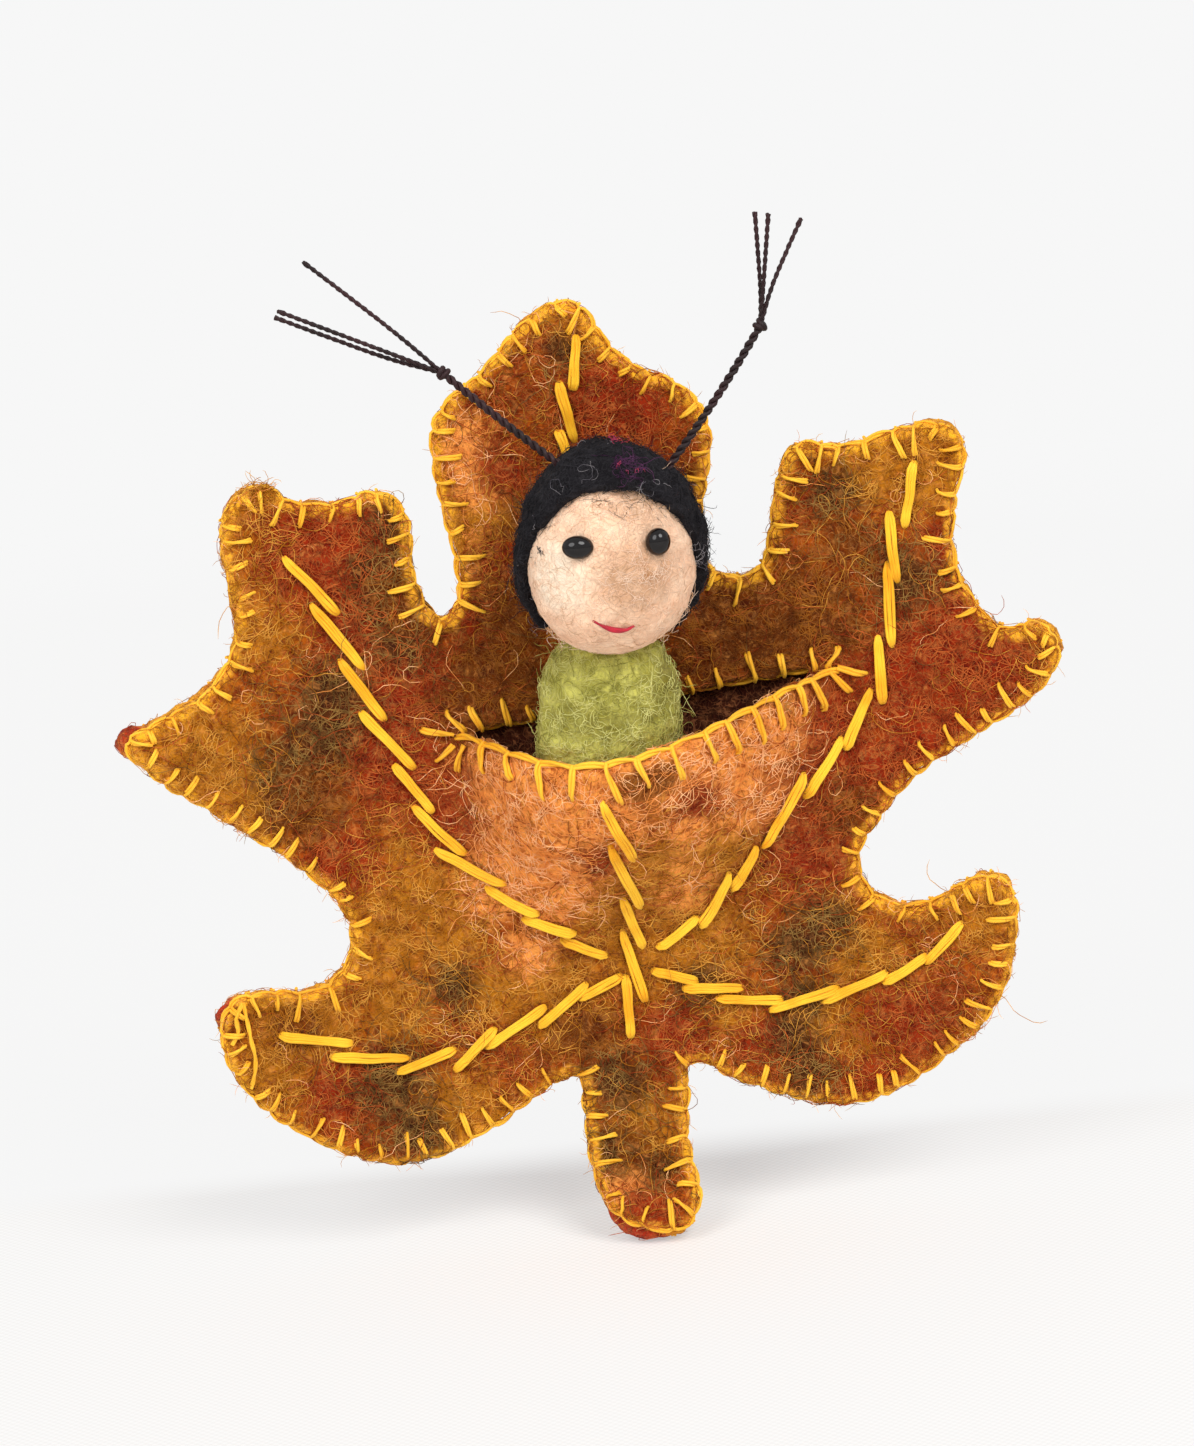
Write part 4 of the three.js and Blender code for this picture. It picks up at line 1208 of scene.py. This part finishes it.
# %% Bead eyes
for node, (radii, x, z) in EYES.items():
    bm = bmesh.new()
    bmesh.ops.create_uvsphere(bm, u_segments=40, v_segments=24, radius=1)
    bmesh.ops.scale(bm, vec=radii, verts=bm.verts)
    local = doll_frame.inverted() @ on_face(x, z, EYE_PROUD)
    bmesh.ops.translate(bm, vec=local, verts=bm.verts)
    bead = doll_object(node.replace("eye", "bead"), bm, bead_black)
    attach(bead, "doll")
    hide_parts(node)

# %% [markdown]
# The mouth is one short curved stitch of red thread, thickest in the middle.

# %% Mouth
MOUTH = [(-2.7, -4.0), (-1.1, -4.8), (0.4, -5.3), (1.6, -5.3), (2.5, -4.9)]
MOUTH_RISES = [-0.05 * MM, 0.12 * MM, 0.16 * MM, 0.12 * MM, -0.1 * MM]
MOUTH_PLY = 0.1 * MM
MOUTH_STRAND = 0.27 * MM
mouth_path = through([on_face(x * MM, z * MM, r) for (x, z), r in zip(MOUTH, MOUTH_RISES)], 0.3 * MM)
mouth_lines = plies(mouth_path, MOUTH_PLY, 2, 7 * MM, 1.0)
taper = [0.3 + 0.7 * math.sin(math.pi * share**1.4) for share in np.linspace(0, 1, len(mouth_path))]
mouth = tubes("mouth_stitch", mouth_lines, MOUTH_STRAND, red_cotton, 2, tapers=[taper, taper])
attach(mouth, "doll")
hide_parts("mouth_thread")

# %% [markdown]
# The body is a flat roll of green wool with full shoulders. Only its upper half shows above the pocket.

# %% Torso
TORSO_HALF_WIDTH = 8.8 * MM
TORSO_FLATNESS = 0.54
TORSO_TOP = 15.5 * MM
TORSO_BOTTOM = -16 * MM
SHOULDER_FULLNESS = 3.2
SEAT_FULLNESS = 2.5


def make_torso():
    """A ball drawn out to a flat roll, fuller at the shoulders than at the seat."""
    bm = ball(Vector((1, 1, 1)), 1, 7)
    middle = (TORSO_TOP + TORSO_BOTTOM) / 2
    reach = (TORSO_TOP - TORSO_BOTTOM) / 2
    for v in bm.verts:
        z = max(-1.0, min(1.0, v.co.z))
        fullness = SHOULDER_FULLNESS if z > 0 else SEAT_FULLNESS
        ring = math.sqrt(max(1e-9, 1 - z * z))
        wide = TORSO_HALF_WIDTH * math.sqrt(max(0, 1 - abs(z) ** fullness)) / ring
        v.co = Vector((v.co.x * wide, v.co.y * wide * TORSO_FLATNESS, middle + z * reach))
    piece = doll_object("doll_torso", bm, green_felt)
    roughen(piece, [(5, 0.4), (1.6, 0.25), (0.7, 0.12)])
    return piece


doll_torso = make_torso()
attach(doll_torso, "doll")
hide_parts("torso")

# %% [markdown]
# The hood is a thin layer of navy wool felted over the back, top and sides of the head.
# It is a ball cut by two planes, one at the brow and one at the hem, thickened inwards and remeshed.

# %% Hood
HOOD_WALL = 1.3 * MM
HOOD_CROWN_WALL = 2.4 * MM
HOOD_BACK_WALL = 1 * MM
HOOD_BROW = (-5.9 * MM, 12 * MM)
HOOD_CHEEK = (-0.7 * MM, -6 * MM)
HOOD_HEM = -9.6 * MM
HOOD_LAP = 0.5 * MM


def make_hood():
    """The cut ball, turned into a shell of wool."""
    radii = HEAD_RADII + Vector((HOOD_WALL, HOOD_BACK_WALL, HOOD_WALL))
    bm = ball(radii, HEAD_CROWN + HOOD_CROWN_WALL, 6)
    slope = Vector((0, HOOD_BROW[0] - HOOD_CHEEK[0], HOOD_BROW[1] - HOOD_CHEEK[1])).normalized()
    ahead = Vector((0, -slope.z, slope.y))
    for place, normal in ((Vector((0, *HOOD_CHEEK)), ahead), (Vector((0, 0, HOOD_HEM)), Vector((0, 0, -1)))):
        bmesh.ops.bisect_plane(bm, geom=everything_in(bm), plane_co=place, plane_no=normal, clear_outer=True)
    bmesh.ops.translate(bm, vec=HEAD_AT, verts=bm.verts)
    piece = doll_object("doll_hood", bm, navy_felt)
    thick = piece.modifiers.new("thickness", "SOLIDIFY")
    thick.thickness = HOOD_WALL + HOOD_LAP
    thick.offset = -1
    soften(piece, 0.4 * MM, 4)
    roughen(piece, [(5, 0.5), (1.5, 0.4), (0.6, 0.15)])
    return piece


doll_hood = make_hood()
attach(doll_hood, "doll")
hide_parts("hood")
print("hood faces:", len(doll_hood.data.polygons))

# %% [markdown]
# The antennae are waxed thread, twisted from two strands and knotted. Past the knot it parts into three loose ends.

# %% Antennae
ANTENNA_Y = -15.5
ANTENNAE = {
    "left": ((-6.1, 12.4), (-15.6, 78.5), [(-30.8, -15.5, 93.5), (-34.4, -16.6, 88.1), (-34.9, -14.6, 87)]),
    "right": ((7.2, 12.6), (22.8, 80.6), [(28.7, -15.5, 93), (24.8, -16.6, 94.1), (23.3, -14.6, 94.1)]),
}
CORD_PLY = 0.27 * MM
CORD_STRAND = 0.29 * MM
CORD_PITCH = 2.3 * MM
ROOT_DEPTH = 0.8 * MM
CORD_SAG = Vector((0.12, 0, -0.25)) * MM
KNOT_SIZE = 0.85 * MM
KNOT_STRAND = 0.36 * MM
KNOT_CORE = 0.5 * MM
END_PLY = 0.13 * MM
END_STRAND = 0.19 * MM
END_PITCH = 1.9 * MM
END_BOW = 0.9 * MM


def antenna_root(x, z):
    """The point just under the hood's crown in the direction of x and z from the head's centre."""
    wide = HEAD_RADII.x + HOOD_WALL
    high = HEAD_CROWN + HOOD_CROWN_WALL
    scale = 1 / math.hypot(x * MM / wide, z * MM / high)
    place = Vector((x * scale, 0, z * scale)) * MM + HEAD_AT
    outward = Vector((x / wide**2, 0, z / high**2)).normalized()
    return doll_frame @ (place - ROOT_DEPTH * outward)


def knot_lines(centre, along):
    """An overhand knot's turns: two small loops round the cord's line."""
    side = along.orthogonal().normalized()
    other = along.cross(side)
    turns = []
    for k in range(33):
        angle = 4 * math.pi * k / 32
        reach = KNOT_SIZE * (0.62 + 0.1 * math.sin(1.5 * angle))
        lift = KNOT_SIZE * 0.42 * math.sin(angle / 2 + 0.5)
        turns.append(centre + reach * (math.cos(angle) * side + math.sin(angle) * other) + lift * along)
    return turns


for side, (root, knot, ends) in ANTENNAE.items():
    body = "antenna_" + side
    start = antenna_root(*root)
    tie = Vector((knot[0], ANTENNA_Y, knot[1])) * MM
    along = (tie - start).normalized()
    path = through([start, start.lerp(tie, 0.35) + CORD_SAG, start.lerp(tie, 0.7) + CORD_SAG, tie], 0.35 * MM)
    cord = tubes(body + "_twist", plies(path, CORD_PLY, 2, CORD_PITCH), CORD_STRAND, dark_thread, 1)
    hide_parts(body + "_cord")
    core = [tie - KNOT_CORE * along, tie + KNOT_CORE * along]
    tied = tubes(body + "_tie", [knot_lines(tie, along), core], KNOT_STRAND, dark_thread, 2)
    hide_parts(body + "_knot")
    lines = []
    for n, end in enumerate(ends):
        tip = Vector(end) * MM
        bow = END_BOW * (n - 1) * Vector((0.2, 0.3, -0.6))
        strand = through([tie, tie.lerp(tip, 0.3) + bow, tie.lerp(tip, 0.7) + 0.6 * bow, tip], 0.4 * MM)
        lines += plies(strand, END_PLY, 2, END_PITCH, n)
    tapers = [[1.0] * (len(line) - 3) + [1.25] * 3 for line in lines]
    loose = tubes(body + "_ends", lines, END_STRAND, dark_thread, 1, tapers=tapers)
    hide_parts(*[f"{body}_strand_{n + 1}" for n in range(len(ends))])
    for piece in (cord, tied, loose):
        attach(piece, body)

# %% [markdown]
# What makes felt look like felt is its loose fibres: curly hairs that lie on it, and some that stand off it.
# Each fibre starts at a random point of its host, wanders over the surface and dives back in, or ends in the air.
# They are few enough to count and a little thicker than real wool, so that they show.

# %% Loose wool fibres
FIBRE_STEPS = 8


def wool(name, host, body, wools, where, pick, count, long, lift, thick, loose, seed, curl=0.42, steps=FIBRE_STEPS):
    """Loose fibres on a host piece, with their length, lift and radius in millimetres.

    where says which of its faces may grow them, and pick gives each its wool. loose is the share with a free end.
    """
    rng = np.random.default_rng(seed)
    mesh = host.data
    mesh.calc_loop_triangles()
    triangles = np.zeros(len(mesh.loop_triangles) * 3, np.int32)
    mesh.loop_triangles.foreach_get("vertices", triangles)
    corners = points_of(mesh)[0][triangles.reshape(-1, 3)]
    faces = np.cross(corners[:, 1] - corners[:, 0], corners[:, 2] - corners[:, 0])
    sizes = np.linalg.norm(faces, axis=1)
    centres = corners.mean(axis=1)
    chance = sizes * where(centres, faces / sizes[:, None])
    chosen = rng.choice(len(sizes), size=count, p=chance / chance.sum())
    kinds = pick(centres[chosen], rng)
    surface = tree_of(host)
    lines, tapers = [], []
    for k in chosen:
        a, b = sorted(rng.random(2))
        place = Vector(corners[k][0] * a + corners[k][1] * (b - a) + corners[k][2] * (1 - b))
        normal = Vector(faces[k] / sizes[k])
        heading = normal.orthogonal()
        heading.rotate(Matrix.Rotation(rng.uniform(0, 2 * math.pi), 3, normal))
        turn = rng.normal(0, curl)
        step = long * MM * rng.uniform(0.45, 1.4) / steps
        top = lift * MM * rng.uniform(0.3, 1.3)
        free = rng.random() < loose
        place -= 0.1 * MM * normal
        line = [place]
        for n in range(1, steps + 1):
            heading.rotate(Matrix.Rotation(turn + rng.normal(0, 0.8 * curl), 3, normal))
            ahead = place + step * heading
            if free:
                place = ahead + 0.35 * step * normal
            else:
                near, normal, _, _ = surface.find_nearest(ahead)
                rise = top * math.sin(math.pi * n / steps) - 0.08 * MM * (n == steps)
                place = near + rise * normal
            line.append(place)
            heading = (heading - heading.dot(normal) * normal).normalized()
        lines.append(line)
        tapers.append([0.6] + [1.0] * (steps - 1) + [0.3])
    piece = tubes(name, lines, thick * MM, wools, 0, tapers=tapers, kinds=[int(k) for k in kinds])
    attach(piece, body)
    print(name, "fibres:", len(lines), "faces:", len(piece.data.polygons))
    return piece


def by_weight(*weights):
    """Picks a wool for each place at random, by weights."""
    return lambda places, rng: rng.choice(len(weights), size=len(places), p=weights)


def everywhere(places, normals):
    """All of a piece may grow fibres."""
    return np.ones(len(places))


def near_rim(places, normals):
    """Only the faces by the leaf's rim."""
    return rim_closeness(places) > 0.4


def near_to(spots):
    """Only near some places, each with its own reach in millimetres."""
    return lambda places, normals: np.any(
        [np.linalg.norm(places - np.array(spot), axis=1) < reach * MM for spot, reach in spots], axis=0
    )


def away_from(spots):
    """Anywhere but near some places."""
    return lambda places, normals: 1 - near_to(spots)(places, normals)


# %% [markdown]
# A fibre takes the colour of the drift that it grows in, so the drifts' borders stay soft and their middles pure.

# %% Fibres of the leaf
# In the spots of painted light and painted shadow the fibres take the peach and umber wool, which carry that light and
# shadow.
leaf_wools = [
    wool_fibre("olive_wool_fibre", "#583A16", "#A47C3E"), wool_fibre("amber_wool_fibre", "#A8640C", "#E0A040"),
    wool_fibre("red_wool_fibre", "#8E300A", "#C8662C"), wool_fibre("peach_wool_fibre", "#E68E42", "#FFC68E"),
    wool_fibre("umber_wool_fibre", "#6A3206", "#A8641C"),
]
BETWEEN = [0.04, 0.28, 0.38, 0.08, 0.22]


def wool_of_drift(places, rng):
    """The wool of the drift that each place lies in, and any wool between the drifts."""
    apart = np.linalg.norm(places[:, None, [0, 2]] - spot_places[None], axis=2) / spot_reaches
    nearest = apart.argmin(axis=1)
    inside = (apart.min(axis=1) < 0.9) & (rng.random(len(places)) < 0.9)
    return np.where(inside, spot_kinds[nearest], rng.choice(len(leaf_wools), size=len(places), p=BETWEEN))


for n in range(3):
    wool(f"front_fibres_{n + 1}", front_felt, "leaf", leaf_wools, faces_front, wool_of_drift,
         count=2600, long=6.5, lift=0.35, thick=0.042, loose=0.01, seed=20 + n)
wool("back_fibres", back_felt, "leaf", leaf_wools, faces_back, by_weight(0.05, 0.25, 0.45, 0.15, 0.1),
     count=2200, long=6, lift=0.35, thick=0.04, loose=0.01, seed=30)
wool("rim_fuzz", front_felt, "leaf", leaf_wools, near_rim, by_weight(0.02, 0.68, 0.05, 0.25, 0.0),
     count=1800, long=1.8, lift=0.2, thick=0.03, loose=0.6, seed=31, steps=5)
tip = on_front(260, 494)[0]
wool("tip_tuft", front_felt, "leaf", leaf_wools, near_to([(tip, 1.3)]), by_weight(0.0, 0.8, 0.0, 0.2, 0.0),
     count=120, long=2.4, lift=0.3, thick=0.035, loose=1.0, seed=32)

# %% [markdown]
# The doll's wools have their own fibres, and small tufts lie on the hood, at the jaw and along the hair line.
# The hood's fuzz keeps clear of the roots of the antennae, so that they bend freely.

# %% Fibres of the doll
skin_wools = [wool_fibre("skin_wool_fibre", "#F0CAAA", "#FCE2CA"), wool_fibre("tan_wool_fibre", "#C09468", "#DDB48E")]
green_wools = [
    wool_fibre("green_wool_fibre", "#B8B25C", "#DAD688"), wool_fibre("moss_wool_fibre", "#868236", "#A6A04C"),
]
navy_wools = [wool_fibre("navy_wool_fibre", "#151317", "#2A282C"), wool_fibre("grey_wool_fibre", "#5E5A62", "#9C9698")]
wool("head_fibres", doll_head, "doll", skin_wools, faces_front, by_weight(0.88, 0.12),
     count=1000, long=3.2, lift=0.09, thick=0.02, loose=0.03, seed=41)
wool("torso_fibres", doll_torso, "doll", green_wools, everywhere, by_weight(0.72, 0.28),
     count=2400, long=3.4, lift=0.35, thick=0.034, loose=0.12, seed=42)
wool("hood_fibres", doll_hood, "doll", navy_wools, everywhere, by_weight(0.996, 0.004),
     count=2400, long=3, lift=0.35, thick=0.034, loose=0.1, seed=43)
ROOTS_CLEAR = 3.4
roots = [(Vector(place) * MM, ROOTS_CLEAR) for place in ((-3.1, -18.2, 67.2), (10.9, -17.8, 65.3))]
wool("hood_fuzz", doll_hood, "doll", navy_wools, away_from(roots), by_weight(0.99, 0.01),
     count=2600, long=1.9, lift=0.2, thick=0.024, loose=0.75, seed=44, steps=5)


def seen_on_hood(*spots):
    """Where the camera sees the hood at a pixel, for each pixel and reach."""
    hood_tree = tree_of(doll_hood)
    return [(hood_tree.ray_cast(eye, ray_through(px, py))[0], reach) for px, py, reach in spots]


def on_skin(*spots):
    """Places on the face, for each x, z and reach in millimetres."""
    return [(on_face(x * MM, z * MM, 0), reach) for x, z, reach in spots]


tuft_wools = [
    wool_fibre("purple_wool_fibre", "#3A1A38", "#5E3458"), wool_fibre("pink_wool_fibre", "#A82A4C", "#D0506E"),
]
CURLS_AT = [
    (561, 500, 1.1), (587, 484, 1.1), (650, 494, 1.1), (698, 535, 1.4), (699, 560, 1.2), (540, 620, 1.6),
    (534, 600, 1.2),
]
JAW = [(9, -5.2, 1.4), (-6.5, -8.6, 1.5), (7, -8.2, 1.5)]
HAIRLINE = [(-0.7, 10.6, 1.5), (2, 10.4, 1.5), (4.5, 9.6, 1.5)]
wool("purple_tuft", doll_hood, "doll", tuft_wools, near_to(seen_on_hood((627, 467, 1.7))), by_weight(0.92, 0.08),
     count=60, long=3, lift=0.5, thick=0.03, loose=0.1, seed=45, curl=0.8)
wool("pink_wisp", doll_hood, "doll", tuft_wools[1:], near_to(seen_on_hood((614, 441, 0.9))), by_weight(1.0),
     count=14, long=2, lift=0.5, thick=0.03, loose=0.6, seed=46, curl=0.7)
wool("pale_curls", doll_hood, "doll", navy_wools[1:], near_to(seen_on_hood(*CURLS_AT)), by_weight(1.0),
     count=22, long=6, lift=1.2, thick=0.02, loose=0.3, seed=47, curl=0.28, steps=20)
wool("jaw_curls", doll_head, "doll", skin_wools, near_to(on_skin(*JAW)), by_weight(0.6, 0.4),
     count=40, long=3.4, lift=0.5, thick=0.026, loose=0.5, seed=48, curl=0.45, steps=14)
wool("dark_fleck", doll_head, "doll", navy_wools[:1], near_to(on_skin((-8.6, 3.6, 0.4))), by_weight(1.0),
     count=16, long=0.7, lift=0.08, thick=0.04, loose=0.0, seed=49, curl=0.9, steps=4)
wool("hairline_fibres", doll_head, "doll", [skin_wools[1], navy_wools[0]], near_to(on_skin(*HAIRLINE)),
     by_weight(0.6, 0.4), count=90, long=2.2, lift=0.2, thick=0.022, loose=0.1, seed=50, steps=5)

# %% [markdown]

# %% [markdown]
# The doll stands on a pale cloth, level with the stem's foot.
# The camera looks down everywhere, so the floor alone is the background.
# A plain cloth would turn grey where the lamps don't reach, so the camera also sees it glow: least at the foot, where
# the shadow lies, and most behind the leaf and far away.

# %% Floor
FLOOR_AT = -36.2 * MM
FLOOR_HALF = 4.0
FOOT_AT = Vector((0, -4 * MM, FLOOR_AT))

WEAVE = 1.1 * MM


def floor_cloth():
    """Plain woven cotton, with the glow that the camera sees."""
    material, tree, shader = new_material("white_cotton_cloth", 0.9)
    place = object_place(tree)
    parts = add(tree, "SeparateXYZ", {0: place}).outputs
    waves = [calc(tree, "SINE", calc(tree, "MULTIPLY", parts[k], 2 * math.pi / WEAVE)) for k in (0, 1)]
    weave = ramp(tree, calc(tree, "MULTIPLY", *waves), -1, 1)
    tree.links.new(blend_colours(tree, weave, "#EAE6E1", "#FEFCF9"), shader.inputs["Base Color"])
    glow = add(tree, "Emission", {"Color": linear("#F7F7F7"), "Strength": 1.0})
    apart = apart_from(tree, place, FOOT_AT)
    around = calc(tree, "ADD", ramp(tree, apart, 0.008, 0.05, 0.42, 0.68), ramp(tree, apart, 0.12, 0.45, 0.0, 0.32))
    behind = ramp(tree, parts[1], 0.012, 0.032, 0.4, 0.96)
    seen = add(tree, "LightPath").outputs["Is Camera Ray"]
    share = calc(tree, "MULTIPLY", seen, calc(tree, "MAXIMUM", around, behind))
    mixed = add(tree, "MixShader", {0: share, 1: shader.outputs[0], 2: glow.outputs[0]})
    tree.links.new(mixed.outputs[0], tree.nodes["Material Output"].inputs["Surface"])
    return material


bm = bmesh.new()
bmesh.ops.create_grid(bm, x_segments=1, y_segments=1, size=FLOOR_HALF)
bmesh.ops.translate(bm, vec=(0, 0, FLOOR_AT), verts=bm.verts)
floor = object_of("floor", bm, floor_cloth(), smooth=False)

# %% [markdown]
# Soft light: a pale world, a large lamp high on the right, which gives the beads their highlights, and a weaker one
# on the left. Each lays a faint shadow on the other side.

# %% Light
WORLD_LIGHT = 0.4
WORLD_SEEN = 0.92
LAMPS_AIM = Vector((0, 0, 0.03))

world = bpy.data.worlds.new("world")
bpy.context.scene.world = world
world.use_nodes = True
tree = world.node_tree
background = tree.nodes["Background"]
path = add(tree, "LightPath").outputs
seen = calc(tree, "MAXIMUM", path["Is Camera Ray"], path["Is Glossy Ray"])
strength = add(tree, "Mix", {0: seen, 2: WORLD_LIGHT, 3: WORLD_SEEN}, data_type="FLOAT").outputs[0]
background.inputs["Color"].default_value = linear("#FFFFFF")
tree.links.new(strength, background.inputs["Strength"])


def soft_lamp(name, place, size, watts):
    """A round soft lamp that shines at the doll."""
    data = bpy.data.lights.new(name, "AREA")
    data.shape = "DISK"
    data.size = size
    data.energy = watts
    lamp = bpy.data.objects.new(name, data)
    lamp.location = place
    lamp.rotation_mode = "QUATERNION"
    lamp.rotation_quaternion = (LAMPS_AIM - lamp.location).to_track_quat("-Z", "Y")
    bpy.context.scene.collection.objects.link(lamp)


soft_lamp("key", (0.45, -0.7, 0.8), 0.6, 8.4)
soft_lamp("fill", (-0.55, -0.75, 0.65), 0.7, 6.6)

# %% [markdown]
# The view transform is Standard, so that a colour renders as it is written.

# %% Close the scene
bpy.context.scene.view_settings.view_transform = "Standard"
